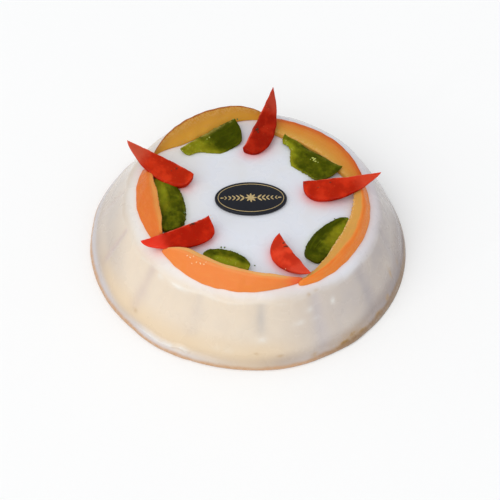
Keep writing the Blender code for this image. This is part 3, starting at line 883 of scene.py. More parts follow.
def make_sponge_material(name, colour, deeper, scale):
    r = Recipe(name, specular_ior_level=0.25)
    crumb = r.noise(scale, 5.0, 0.62)
    pores = r.cells(scale * 2.2)
    shade = r.mix(r.band(crumb, 0.35, 0.68), deeper, colour)
    shade = r.mix(r.band(pores, 0.16, 0.05, 0.0, 0.5), shade, deeper)
    bump = r.bump(crumb, 0.0008, 0.7)
    bump = r.bump(r.band(pores, 0.0, 0.4), 0.0005, 0.5, bump)
    return r.finish(shade, 0.82, bump)


def make_plaque_material():
    plaque = "cassata_plaque"
    r = Recipe("dark_plaque", ior=1.5, specular_ior_level=0.2, coat_weight=0.08,
               coat_roughness=0.15)
    cloud = r.noise(260.0, 4.0)
    colour = r.mix(cloud, colour_of(plaque, "dark"), (0.010, 0.012, 0.019))
    return r.finish(colour, r.band(cloud, 0.3, 0.7, 0.30, 0.42), r.bump(cloud, 0.0001, 0.4))


def make_gold_material():
    r = Recipe("gold_print", metallic=0.35)
    wear = r.noise(700.0, 4.0)
    colour = r.mix(r.band(wear, 0.3, 0.7), (0.52, 0.37, 0.15), colour_of("cassata_plaque", "gold"))
    return r.finish(colour, r.band(wear, 0.3, 0.7, 0.34, 0.5), r.bump(wear, 0.00005, 0.4))


def make_floor_material():
    r = Recipe("pale_floor", specular_ior_level=0.2)
    haze = r.noise(3.0, 3.0)
    return r.finish(r.mix(haze, (0.96, 0.96, 0.955), (0.975, 0.975, 0.97)), 0.8)


# Candied fruit

def swell(share, skew, blunt):
    """Taper of a piece along its length: 0 at both ends and 1 where it is widest."""
    bluntness = blunt[0] + (blunt[1] - blunt[0]) * share
    return max(0.0, math.sin(math.pi * share ** skew)) ** bluntness


def pear_outline(share, neck):
    """Width of a pear half along its length: a full round end that narrows into the neck."""
    narrowest, body_to, neck_from = neck
    rounded = math.sqrt(max(0.0, 1.0 - (1.0 - min(share / PEAR_END, 1.0)) ** 2))
    narrowing = 1.0 - (1.0 - narrowest) * smooth(share, body_to, neck_from)
    past = max(share - (1.0 - PEAR_TIP), 0.0) / PEAR_TIP
    return rounded * narrowing * math.sqrt(max(0.0, 1.0 - past ** 2))


def row_at(rows, azimuth):
    """The row of a table at an azimuth between its own ones."""
    for first, second in zip(rows, rows[1:]):
        if azimuth >= second[0] or second is rows[-1]:
            share = min(max((azimuth - first[0]) / (second[0] - first[0]), 0.0), 1.0)
            return [a + (b - a) * share for a, b in zip(first, second)]


def peel_section(peel):
    """Four corners of a strip's section in the upright plane through the cake's axis."""
    rows = peel["rows"]
    first, last = rows[0][0], rows[-1][0]
    length = math.radians(abs(last - first)) * SHOULDER_CENTRE_RADIUS

    def section(share):
        azimuth = first + (last - first) * share
        near = [row_at(rows, azimuth + step) for step in PEEL_BLUR]
        row = [sum(values) * MM / len(PEEL_BLUR) for values in zip(*near)]
        inside = min(min(share, 1.0 - share) * length / PEEL_END, 1.0)
        close = math.sqrt(max(0.0, 1.0 - (1.0 - inside) ** 2))
        middle = (row[1] + row[6]) / 2
        corners = []
        for radius, height in ((row[1], 0.0), (row[2], row[3]), (row[4], row[5]), (row[6], 0.0)):
            radius = middle + (radius - middle) * close
            floor = TOP_HEIGHT if height else top_surface(radius)
            corners.append(polar(radius, azimuth, floor + PEEL_LIFT * close + height * close))
        return corners

    return section


def pear_section(pear, outline):
    """Four corners of a pear piece's section across the line from its wide end to its tip."""
    radius, azimuth, height = pear["wide_end"]
    start = polar(radius, azimuth, TOP_HEIGHT + height)
    radius, azimuth, height = pear["tip"]
    end = polar(radius, azimuth, TOP_HEIGHT + height)
    ahead = end - start
    sideways = Vector((-ahead.y, ahead.x, 0.0)).normalized() * pear["side"]
    upwards = Vector((0.0, 0.0, 1.0))

    def section(share):
        size = outline(share, pear)
        line = start.lerp(end, share)
        width = pear["width"] * size
        depth = pear["height"] * size ** PEAR_HEIGHT_TAPER
        back = sideways * pear["back"] * size
        foot = line - upwards * depth
        if "neck" in pear or "skew" in pear:
            return (foot + sideways * width * PEAR_FOOT_TO,
                    line + sideways * width - upwards * depth * PEAR_FACE_DROP,
                    line - back,
                    foot + sideways * width * PEAR_FOOT_FROM)
        return (foot + sideways * width,
                line + sideways * width * DOME_CREST - upwards * depth * DOME_OUTER_DROP,
                line - back - upwards * depth * DOME_INNER_DROP,
                foot - back)

    return section


def red_outline(share, pear):
    return swell(share, pear["skew"], pear["blunt"])


def green_outline(share, pear):
    if "neck" in pear:
        return pear_outline(share, pear["neck"])
    return swell(share, 1.0, pear["blunt"])


def shape_fruit(piece, section, squareness, torn, seed):
    """Draw a ball out into a strip or a wedge, with soft dents and torn edges.

    The squareness of the section's corners is given for its upper and its lower half, and the
    depth of the tears for its inner and its outer edge. The point attribute "form" keeps the
    share of the length, and the place across and up the section, both from -1 to 1, for the
    materials.
    """
    noise.seed_set(DENT_SEED)
    wobble = bpy.context.scene.cassata_fruit.wobble
    mesh = piece.data
    form = mesh.attributes.new("form", "FLOAT_VECTOR", "POINT")
    length = (sum(section(1.0), Vector()) - sum(section(0.0), Vector())).length / 4
    for vertex in mesh.vertices:
        share = min(max((1.0 + vertex.co.z) / 2, 0.0), 1.0)
        ring = vertex.co.xy
        across = rise = 0.0
        if ring.length > 1e-6:
            ring = ring.normalized()
            power = squareness[0] if ring.y > 0.0 else squareness[1]
            reach = (abs(ring.x) ** power + abs(ring.y) ** power) ** (-1 / power)
            across, rise = ring * reach
        outer_foot, outer_crest, inner_crest, inner_foot = section(share)
        outer = outer_foot.lerp(outer_crest, (1.0 + rise) / 2)
        inner = inner_foot.lerp(inner_crest, (1.0 + rise) / 2)
        place = inner.lerp(outer, (1.0 + across) / 2)
        width = (outer_crest - inner_crest).length + (outer_foot - inner_foot).length
        soft = min(1.0, width / FULL_DENT_WIDTH)
        dent = noise.noise_vector(place * DENTS_PER_METRE + Vector((seed, 0.0, 0.0))) * wobble
        place += dent * soft
        edges = (max(0.0, -across) ** 3 * max(0.0, rise) ** 2, max(0.0, across) ** 3)
        for depth, at_edge in zip(torn, edges):
            if depth * at_edge > 0.0:
                tooth = sum(size * noise.noise(Vector((share * length * count, seed, layer)))
                            for size, count, layer in TEETH)
                away = (inner - outer).normalized() * (-1.0 if across > 0.0 else 1.0)
                place -= away * tooth * depth * at_edge
        vertex.co = place
        form.data[vertex.index].vector = (share, across, rise)


def lay_down(piece, below, sink):
    """Lift the vertices that reach under the glaze or under the pieces that lie below."""
    for vertex in piece.data.vertices:
        floor = top_surface(vertex.co.xy.length) - sink
        for tree in below:
            hit = tree.ray_cast(Vector((vertex.co.x, vertex.co.y, 1.0)), Vector((0.0, 0.0, -1.0)))
            if hit[0] is not None:
                floor = max(floor, hit[0].z - sink)
        vertex.co.z = max(vertex.co.z, floor)


def make_fruit(name, section, mesh_size, squareness, torn, below, seed):
    deselect_all()
    segments, rings = mesh_size
    bpy.ops.mesh.primitive_uv_sphere_add(segments=segments, ring_count=rings, radius=1.0,
                                         location=(0.0, 0.0, 0.0))
    piece = newest(name)
    shape_fruit(piece, section, squareness, torn, seed)
    lay_down(piece, below, bpy.context.scene.cassata_fruit.sink)
    edit(piece, face_outwards)
    smooth_shade(piece, 50)
    return piece


def fruit_pieces(prefix):
    return [item for item in bpy.data.objects
            if item.type == "MESH" and item.name.startswith(prefix)]


class CASSATA_OT_peels(bpy.types.Operator):
    """Make the five curled strips of candied orange peel"""
    bl_idname = "cassata.peels"
    bl_label = "Orange Peel"

    LOOKS = (
        # The first strip's inner face turns lighter towards its foot: painted light cast up by the
        # glaze
        dict(outer=((0.42, 0.16, 0.022), (0.6, 1.0)), face=(0.545, 0.25, 0.036),
             rim=((0.30, 0.075, 0.012), -1.0, 0.2, (0.80, 0.93), 0.85), edge=(0.60, 0.29, 0.060),
             pale=(0.60, 0.34, 0.10), inner=((0.64, 0.315, 0.038), (0.8, -0.4))),
        dict(outer=((0.60, 0.115, 0.014), (0.05, 0.92)), face=(0.63, 0.235, 0.034),
             rim=((0.58, 0.080, 0.012), 1.0, 0.22, (-0.4, 0.2), 0.85), edge=(0.67, 0.29, 0.060),
             pale=(0.66, 0.38, 0.12), inner=((0.60, 0.305, 0.052), (1.3, 1.1))),
        dict(outer=((0.80, 0.22, 0.036), (0.35, 0.75)), face=(0.63, 0.32, 0.070),
             rim=((0.70, 0.15, 0.022), 0.9, 0.3, (0.6, 0.9), 0.4), edge=(0.76, 0.36, 0.090),
             pale=(0.90, 0.64, 0.30)),
        dict(outer=((0.77, 0.225, 0.052), (0.35, 0.8)), face=(0.78, 0.40, 0.13),
             rim=((0.84, 0.42, 0.15), 0.9, 0.3, (0.7, 0.95), 0.35), edge=(0.78, 0.26, 0.062),
             pale=(0.90, 0.60, 0.26), blush=0.75),
        dict(outer=((0.67, 0.165, 0.030), (-0.1, 1.0)), face=(0.77, 0.31, 0.074),
             rim=((0.80, 0.34, 0.10), 0.9, 0.3, (0.6, 0.9), 0.0), edge=(0.71, 0.21, 0.044),
             pale=(0.88, 0.50, 0.18)),
    )

    def execute(self, context):
        for index, (peel, look) in enumerate(zip(PEELS, self.LOOKS), 1):
            piece = make_fruit(f"peel_strip_{index}", peel_section(peel), PEEL_MESH,
                               PEEL_CORNERS, (peel["torn"], 0.0), [], 10.0 * index)
            finish_piece(piece, make_peel_material(index, **look), "orange",
                         f"orange_peel_{index}")
        return {"FINISHED"}


class CASSATA_OT_green_pears(bpy.types.Operator):
    """Make the five pieces of candied green pear"""
    bl_idname = "cassata.green_pears"
    bl_label = "Green Pear"

    def execute(self, context):
        material = make_green_material()
        below = [tree_of(piece) for name in ("peel_strip_1", "peel_strip_2")
                 for piece in fruit_pieces(name)]
        for index, pear in enumerate(GREEN_PEARS, 1):
            piece = make_fruit(f"green_slice_{index}", pear_section(pear, green_outline),
                               GREEN_MESH, GREEN_CORNERS, pear["torn"],
                               below if "neck" in pear else [], 100.0 + 10.0 * index)
            self.mark_clear(piece, pear)
            finish_piece(piece, material, "green", f"green_pear_{index}")
        return {"FINISHED"}

    def mark_clear(self, piece, pear):
        """Where the flesh is lighter: the thin, clear neck and torn edge, or a dome's middle."""
        marks = add_marks(piece.data, ("clear", "crust"))
        for index, point in enumerate(piece.data.attributes["form"].data):
            share, across, rise = point.vector
            if "neck" in pear:
                amount = smooth(share, 0.38, 0.75)
                amount *= 1.0 - pear["shade"] * (1.0 - smooth(across, -0.4, 0.7))
                amount *= 1.0 - 0.8 * pear["shade"] * smooth(share, 0.93, 0.98)
                amount += pear["pale_edge"] * smooth(across, 0.6, 0.95)
                torn = smooth(-across, 0.55, 0.80) * smooth(rise, 0.2, 0.7)
                marks["crust"][index].value = torn * pear["crust"]
            else:
                light, middle = pear["light"]
                amount = smooth(-across, -0.60, 0.05) * (0.25 + 0.65 * bell(share, middle, 0.34))
                amount *= light
                amount += 0.3 * smooth(across, 0.75, 1.0) * smooth(-rise, -0.3, 0.4)
                # Painted highlight: a thin bright line along a dome's ridge
                amount += 0.6 * bell(across, 0.45, 0.05) * bell(share, 0.65, 0.22)
                amount += (light - 1.0) * smooth(share, 0.2, 0.05)
            marks["clear"][index].value = min(max(amount, pear["least"]), 1.0)


class CASSATA_OT_red_pears(bpy.types.Operator):
    """Make the five wedges of candied red pear, lying over the other fruit"""
    bl_idname = "cassata.red_pears"
    bl_label = "Red Pear"

    LOOKS = (
        dict(body=(0.76, 0.68, 0.60), tip=(0.75, 0.80, 0.95)),
        dict(body=(1.04, 1.10, 1.00), tip=(1.00, 0.85, 0.75)),
        dict(body=(1.30, 2.10, 3.00), tip=(1.02, 0.90, 0.90)),
        dict(body=(1.04, 0.80, 0.65), tip=(1.28, 0.66, 0.70)),
        dict(body=(1.08, 1.35, 1.10), tip=(0.84, 1.20, 1.35)),
    )

    def execute(self, context):
        below = [tree_of(piece) for piece in fruit_pieces("peel_strip") + fruit_pieces("green_slice")]
        for index, (pear, look) in enumerate(zip(RED_PEARS, self.LOOKS), 1):
            piece = make_fruit(f"red_wedge_{index}", pear_section(pear, red_outline), RED_MESH,
                               RED_CORNERS, (pear["torn"], 0.0), below, 200.0 + 10.0 * index)
            finish_piece(piece, make_red_material(index, **look), "red", f"red_pear_{index}")
        return {"FINISHED"}


# Small things on the fruit and the glaze

def place_grain(tree, pixel, size, turn, sides):
    """Put one flattened ball where the line of sight through a pixel meets a surface."""
    start, direction = sight_line(pixel)
    place, normal, _, _ = tree.ray_cast(start, direction)
    if place is None:
        raise RuntimeError(f"nothing to carry a grain at {pixel}")
    deselect_all()
    bpy.ops.mesh.primitive_uv_sphere_add(segments=sides, ring_count=sides // 2, radius=0.5)
    grain = bpy.context.object
    facing = normal.to_track_quat("Z", "Y").to_matrix().to_4x4()
    spin = Matrix.Rotation(turn, 4, "Z")
    grain.matrix_world = (Matrix.Translation(place) @ facing @ spin
                          @ Matrix.Diagonal((size[0], size[1], size[2], 1.0)))
    apply_place(grain)
    return grain


def merged_tree(pieces):
    vertices, faces = [], []
    for piece in pieces:
        start = len(vertices)
        vertices += [vertex.co.copy() for vertex in piece.data.vertices]
        faces += [[start + index for index in polygon.vertices] for polygon in piece.data.polygons]
    return BVHTree.FromPolygons(vertices, faces)


def grains(name, tree, table, material, slot, sides=10):
    made = [place_grain(tree, pixel, size, turn, sides) for pixel, size, turn in table]
    piece = join(made, name)
    smooth_shade(piece, 60)
    finish_piece(piece, material, slot)


class CASSATA_OT_small_things(bpy.types.Operator):
    """Put the seeds, the crumbs, the sugar and the painted glints where the photograph shows them"""
    bl_idname = "cassata.small_things"
    bl_label = "Seeds and Grains"

    # Places in the photograph, in pixels, then the size, for a seed in seed lengths and for the
    # others in millimetres. A seed also has its turn
    SEEDS = (
        (257.0, 129.4, 1.9, 0.4), (258.0, 132.0, 1.1, 1.4), (257.6, 126.6, 0.7, 0.0),
        (283.6, 243.0, 1.1, 1.0), (286.8, 246.4, 1.3, 0.2), (284.6, 246.6, 0.9, 0.8),
        (193.0, 223.8, 1.7, 0.6), (190.4, 225.0, 1.0, 0.1), (176.6, 168.4, 1.1, 1.2),
        (171.4, 170.8, 0.6, 0.3), (330.4, 182.4, 0.9, 0.5), (304.6, 183.4, 0.8, 0.0),
        (318.0, 187.6, 0.6, 0.9),
    )
    CRUMBS = (
        (221.2, 247.4, 1.6), (224.6, 247.6, 1.5), (219.4, 249.2, 1.0), (182.0, 196.6, 1.5),
        (184.4, 212.6, 1.7), (184.8, 216.0, 1.1), (254.8, 265.6, 1.2), (344.8, 218.0, 1.1),
        (334.6, 219.0, 1.3), (233.2, 119.6, 1.4), (237.4, 119.2, 1.2), (214.0, 128.6, 0.9),
    )
    # The sparkles are pale grains that paint glints: painted highlights
    SPARKLES = (
        (187.2, 255.6, 1.3), (190.2, 257.4, 1.6), (193.6, 256.2, 1.2), (196.4, 262.2, 1.5),
        (200.4, 263.4, 1.8), (203.8, 264.2, 1.5), (191.8, 263.4, 1.3), (206.0, 262.0, 1.0),
        (285.0, 271.0, 1.2), (285.6, 268.8, 1.0), (210.6, 215.4, 1.0), (212.2, 218.4, 1.2),
    )
    # Clear sugar drops on the green pear, most of them painted glints
    CLEAR_DROPS_AND_GLINTS = (
        (312.8, 158.0, 2.2), (314.6, 159.0, 2.6), (315.4, 161.2, 2.0), (313.4, 160.4, 1.6),
        (318.0, 162.4, 1.2), (310.4, 159.4, 1.0), (209.4, 137.4, 1.6), (207.0, 139.0, 1.1),
        (182.4, 150.6, 1.2), (286.0, 140.6, 1.2),
    )

    # Length, width and height of each kind for one unit of size
    SEED_FORM = (1.0, 0.55, 0.4)
    CRUMB_FORM = (1.1, 0.8, 0.8)
    SPARKLE_FORM = (1.0, 0.45, 0.3)
    DROP_FORM = (0.9, 0.6, 0.3)
    SEED_SIDES = 14

    def execute(self, context):
        pieces = [item for prefix in ("peel_strip", "green_slice", "red_wedge")
                  for item in fruit_pieces(prefix)]
        fruit = merged_tree(pieces)
        every = merged_tree(pieces + fruit_pieces("sugar_icing"))
        length = context.scene.cassata_fruit.seed_length
        seeds = [((x, y), self.sized(length * size, self.SEED_FORM), turn)
                 for x, y, size, turn in self.SEEDS]
        grains("pear_seeds", fruit, seeds, make_seed_material(), "red", self.SEED_SIDES)
        crumbs = [((x, y), self.sized(size * MM, self.CRUMB_FORM), x) for x, y, size in self.CRUMBS]
        grains("green_crumbs", every, crumbs, make_crumb_material(), "green")
        sparkles = [((x, y), self.sized(size * MM, self.SPARKLE_FORM), y)
                    for x, y, size in self.SPARKLES]
        grains("sugar_grains", every, sparkles, make_grain_material(), "orange")
        drops = [((x, y), self.sized(size * MM, self.DROP_FORM), y) for x, y, size in self.CLEAR_DROPS_AND_GLINTS]
        grains("sugar_drops", every, drops, make_clear_material(), "green")
        return {"FINISHED"}

    def sized(self, size, form):
        return tuple(size * factor for factor in form)


# Glaze

def unevenness(azimuth):
    angle = math.radians(azimuth)
    return sum(height * math.sin(count * angle + phase) for count, height, phase in SIDE_WAVES)


def seam_at(azimuth, height, radius):
    """How much a point lies on a seam, times that seam's strength."""
    turn = (azimuth - SEAM_AZIMUTH) / PANEL_PITCH
    seam = round(turn)
    strength, lowest, width, offset = SEAMS[seam % PANEL_COUNT]
    wander = SEAM_WANDER * noise.noise(Vector((height * 60.0, seam, 3.0)))
    distance = math.radians((turn - seam) * PANEL_PITCH - offset) * radius + wander
    strength *= 0.8 + 0.4 * noise.noise(Vector((height * 110.0, seam * 3.1, 0.0)))
    wider = width * (1.0 + SEAM_WIDER * (1.0 - smooth(height, *SEAM_WIDENS)))
    upright = smooth(height, lowest - SEAM_FADE, lowest + SEAM_FADE)
    upright *= 1.0 - smooth(height, *SEAM_TOP)
    return bell(distance, 0.0, wider) * upright * max(0.0, strength)


def between_seams(azimuth):
    """0 at a seam's even place and 1 halfway to the next one."""
    return math.sin(math.pi * ((azimuth - SEAM_AZIMUTH) / PANEL_PITCH % 1.0)) ** 2


def ledge_at(azimuth, height):
    """Soft ridge where the panels end under the glaze, a little lower between the seams."""
    level = LEDGE_HEIGHT - LEDGE_DIP * between_seams(azimuth)
    level += LEDGE_UNEVEN * ring_noise(azimuth, 20.0, 6.0)
    return bell(height, level, LEDGE_WIDTH)


def foot_share(azimuth, height):
    """How much the thick, bluish glaze pooled at the foot covers the cream."""
    level = value_at(azimuth, FOOT_LEVEL) + BACK_FOOT_LIFT * smooth(abs(azimuth), *BACK_FOOT)
    covered = 1.0 - smooth(height, level - 0.0025, level + 0.0030)
    return value_at(azimuth, FOOT_COVER) * covered


def base_share(azimuth, height):
    """How much a point lies in the brown line at the very foot: wet cake and painted contact shade.
    """
    level = value_at(azimuth, BASE_LEVEL)
    return 1.0 - smooth(height, level - 0.0006, level + 0.0016)


def low_shade_share(azimuth, height):
    """How much painted shade darkens the glaze low on the side."""
    back = smooth(abs(azimuth), *BACK_LOW_SHADE)
    level = value_at(azimuth, LOW_SHADE_LEVEL) + BACK_LOW_SHADE_LIFT * back
    amount = value_at(azimuth, LOW_SHADE_AMOUNT) + BACK_LOW_SHADE_MORE * back
    amount *= value_at(azimuth, LOW_SHADE_COVER)
    return amount * (1.0 - smooth(height, 0.45 * level, 1.15 * level))


def lip_at(azimuth, height):
    """Raised fold of glaze low on the front left."""
    here = smooth(azimuth, *LIP_FROM) * (1.0 - smooth(azimuth, *LIP_TO))
    level = value_at(azimuth, LIP_LEVEL)
    ridge = LIP_RISE * bell(height, level, LIP_WIDTH)
    pool = LIP_POOL * (1.0 - smooth(height, level - 0.001, level + 0.0005))
    return here * (ridge + pool)


def under_lip(azimuth, height):
    """Shaded groove under the fold."""
    here = GROOVE_SHADE * smooth(azimuth, *GROOVE_FROM) * (1.0 - smooth(azimuth, *GROOVE_TO))
    return here * bell(height, GROOVE_HEIGHT, GROOVE_WIDTH)


def patches_at(azimuth, height, patches):
    amount = 0.0
    for centre, level, wide, high, strength in patches:
        if abs(azimuth - centre) < 3.0 * wide:
            spot = strength * bell(azimuth, centre, wide) * bell(height, level, high)
            amount = max(amount, spot)
    return amount


def stain_at(azimuth, height):
    """How strongly the side is stained, from 0 to 1."""
    strength, centre, width = WIDE_STAIN
    wide = strength * bell(azimuth, centre, width) * (1.0 - smooth(height, *WIDE_STAIN_FADE))
    return min(1.0, max(wide, patches_at(azimuth, height, STAINS)))


class CASSATA_OT_glaze(bpy.types.Operator):
    """Pour the sugar glaze over the top and the side, round the fruit"""
    bl_idname = "cassata.glaze"
    bl_label = "Sugar Glaze"

    TURN_STEPS = 600
    MARKS = ("seam", "stain", "painted_shine", "foot", "low_shade", "base")

    def execute(self, context):
        icing = self.spin_outline()
        self.relief(icing, context.scene.cassata_cake)
        edit(icing, face_outwards)
        smooth_shade(icing, 60)
        finish_piece(icing, make_glaze_material(), "icing", "icing")
        return {"FINISHED"}

    def outline(self):
        """Closed outline of the skin, from the middle of the top down the side and back up."""
        top = [(radius * MM, TOP_HEIGHT) for radius in (0, 5, 11, 17, 23)]
        top += [(radius * MM, TOP_HEIGHT) for radius in range(28, 77)]
        side_top = shoulder_arc(0.0, 14)
        last = side_top[-1][1]
        foot = ICING_FOOT_HEIGHT
        side = []
        for start, end, steps in ((last, 0.012, 22), (0.012, foot + 0.0003, 24)):
            for step in range(1, steps + 1):
                height = start + (end - start) * step / steps
                side.append((side_radius(height, 0.0), height))
        under = [(side_radius(foot, 0.0) - 0.0003, foot),
                 (side_radius(foot, ICING_THICKNESS), foot)]
        inner = [(side_radius(height, ICING_THICKNESS), height)
                 for height in (0.006, 0.020, PANEL_TOP_HEIGHT)]
        inner += shoulder_arc(ICING_THICKNESS, 6)[::-1]
        inner += [(0.040, TOP_HEIGHT - ICING_THICKNESS), (0.0, TOP_HEIGHT - ICING_THICKNESS)]
        return top + side_top + side + under + inner

    def spin_outline(self):
        """Extrude one point along the outline, then spin the line round the axis."""
        points = self.outline()
        deselect_all()
        bpy.ops.mesh.primitive_circle_add(vertices=3, radius=0.001)
        icing = newest("sugar_icing")
        for vertex in icing.data.vertices:
            vertex.co = (points[0][0], 0.0, points[0][1])
        bpy.ops.object.mode_set(mode="EDIT")
        bpy.ops.mesh.select_all(action="SELECT")
        bpy.ops.mesh.merge(type="CENTER")
        for first, second in zip(points, points[1:]):
            step = (second[0] - first[0], 0.0, second[1] - first[1])
            bpy.ops.mesh.extrude_vertices_move(TRANSFORM_OT_translate={"value": step})
        bpy.ops.mesh.select_all(action="SELECT")
        bpy.ops.mesh.spin(steps=self.TURN_STEPS, angle=math.tau, center=(0.0, 0.0, 0.0),
                          axis=(0.0, 0.0, 1.0))
        bpy.ops.mesh.select_all(action="SELECT")
        bpy.ops.mesh.remove_doubles(threshold=0.00002)
        bpy.ops.object.mode_set(mode="OBJECT")
        return icing

    def relief(self, icing, sizes):
        """Marks and relief of the side, and the glaze's rise round the fruit."""
        marks = add_marks(icing.data, self.MARKS + tuple(glow[0] for glow in GLOWS))
        trees = {name: [tree_of(piece) for piece in fruit_pieces(prefix)]
                 for name, prefix, *_ in GLOWS}
        for vertex in icing.data.vertices:
            radius = vertex.co.xy.length
            height = vertex.co.z
            if radius < POLE_RADIUS or self.is_inner(radius, height):
                continue
            azimuth = math.degrees(math.atan2(vertex.co.y, vertex.co.x))
            if radius < FRUIT_RADIUS:
                self.rise_round_fruit(vertex, marks, trees, sizes)
            share = smooth(radius, SHOULDER_CENTRE_RADIUS, FULL_RELIEF_RADIUS)
            if share > 0.0:
                seam = seam_at(azimuth, height, radius)
                values = self.side_marks(azimuth, height, seam)
                for name, value in zip(self.MARKS, values):
                    marks[name][vertex.index].value = value
                out = self.side_relief(azimuth, height, seam, sizes)
                out += SIDE_DENTS * noise.noise(vertex.co * 60.0)
                out = max(out, (THINNEST_SKIN - ICING_THICKNESS) / math.cos(SIDE_LEAN))
                outward = vertex.co.xy.normalized() * out * share
                vertex.co.x += outward.x
                vertex.co.y += outward.y

    def side_marks(self, azimuth, height, seam):
        """The marks that the material reads, in the order of their names."""
        shine = ledge_at(azimuth, height) * value_at(azimuth, LEDGE_SHINE)
        shine += lip_at(azimuth, height) * LIP_TO_SHINE
        shine = max(shine, patches_at(azimuth, height, SHINES))
        # The seam mark also carries the painted shade in the groove under the fold
        seam_and_groove_shade = max(seam, under_lip(azimuth, height))
        return (min(seam_and_groove_shade, 1.0), stain_at(azimuth, height), min(shine, 1.0),
                foot_share(azimuth, height), low_shade_share(azimuth, height),
                base_share(azimuth, height))

    def side_relief(self, azimuth, height, seam, sizes):
        """How far the side stands out from the plain cone."""
        out = unevenness(azimuth) - sizes.seam_depth * seam
        out += LEDGE_RISE * ledge_at(azimuth, height)
        out += PANEL_BULGE * between_seams(azimuth)
        rolled = bell(height, value_at(azimuth, ROLL_LEVEL), ROLL_WIDTH)
        out += sizes.foot_roll * value_at(azimuth, ROLL_AMOUNT) * rolled
        out -= FOOT_CUT * (1.0 - smooth(height, *FOOT_CUT_FADE))
        out += lip_at(azimuth, height)
        out -= value_at(azimuth, TUCK) * (1.0 - smooth(height, *TUCK_FADE))
        return out

    def is_inner(self, radius, height):
        if radius < SHOULDER_CENTRE_RADIUS:
            return height < TOP_HEIGHT - ICING_THICKNESS / 2
        middle = SHOULDER_ROUNDING - ICING_THICKNESS / 2
        across = radius - SHOULDER_CENTRE_RADIUS
        up = height - (TOP_HEIGHT - SHOULDER_ROUNDING)
        if up > math.tan(SIDE_LEAN) * across:
            return math.hypot(across, up) < middle
        return radius < side_radius(height, ICING_THICKNESS / 2)

    def rise_round_fruit(self, vertex, marks, trees, sizes):
        place = vertex.co.copy()
        nearest = 1.0
        for name, _, reach, _, _ in GLOWS:
            distance = GLOW_LIMIT
            for tree in trees[name]:
                hit = tree.find_nearest(place, distance)
                if hit[0] is not None:
                    distance = min(distance, hit[3])
            if distance < GLOW_LIMIT:
                marks[name][vertex.index].value = math.exp(-distance / reach)
            nearest = min(nearest, distance)
        vertex.co.z += sizes.meniscus * math.exp(-nearest / MENISCUS_REACH)
        vertex.co.z += TOP_DENTS * noise.noise(place * 45.0)


class CASSATA_OT_inside(bpy.types.Operator):
    """Give the sponge and the side panels their crumb"""
    bl_idname = "cassata.inside"
    bl_label = "Sponge and Panels"

    def execute(self, context):
        sponge = make_sponge_material("sponge_crumb", colour_of("cassata_cake", "sponge"),
                                      (0.52, 0.34, 0.16), 420.0)
        panel = make_sponge_material("panel_crumb", colour_of("cassata_cake", "cream"),
                                     (0.66, 0.50, 0.32), 600.0)
        for name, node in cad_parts.items():
            if name == "cake":
                dress(node, sponge)
            elif name.startswith("side_panel"):
                dress(node, panel)
        return {"FINISHED"}


# Plaque

PLAQUE_TURN = math.radians(7.0)
PLAQUE_LENGTH = 0.049
PLAQUE_WIDTH = 0.0295
PLAQUE_EDGE = 0.0007
GOLD_HEIGHT = 0.0003
RULE_HEIGHT = 0.00012
RULE_TUBE = 0.01
PETAL_COUNT = 8
PETAL_DISTANCE = 0.0023
PETAL_SIZE = (0.0034, 0.0017)
MIDDLE_SIZE = (0.0017, 0.0017)
SPRIG_LEAVES = 5
SPRIG_START = 0.0060
SPRIG_STEP = 0.0028
SPRIG_TAPER = 0.11
SPRIG_END = 0.0196
END_LEAF_SIZE = (0.0026, 0.0012)
LEAF_SIZE = (0.0040, 0.0015)
LEAF_OFFSET = 0.0014
LEAF_TURN = 0.75
LEAF_POINT = 0.35


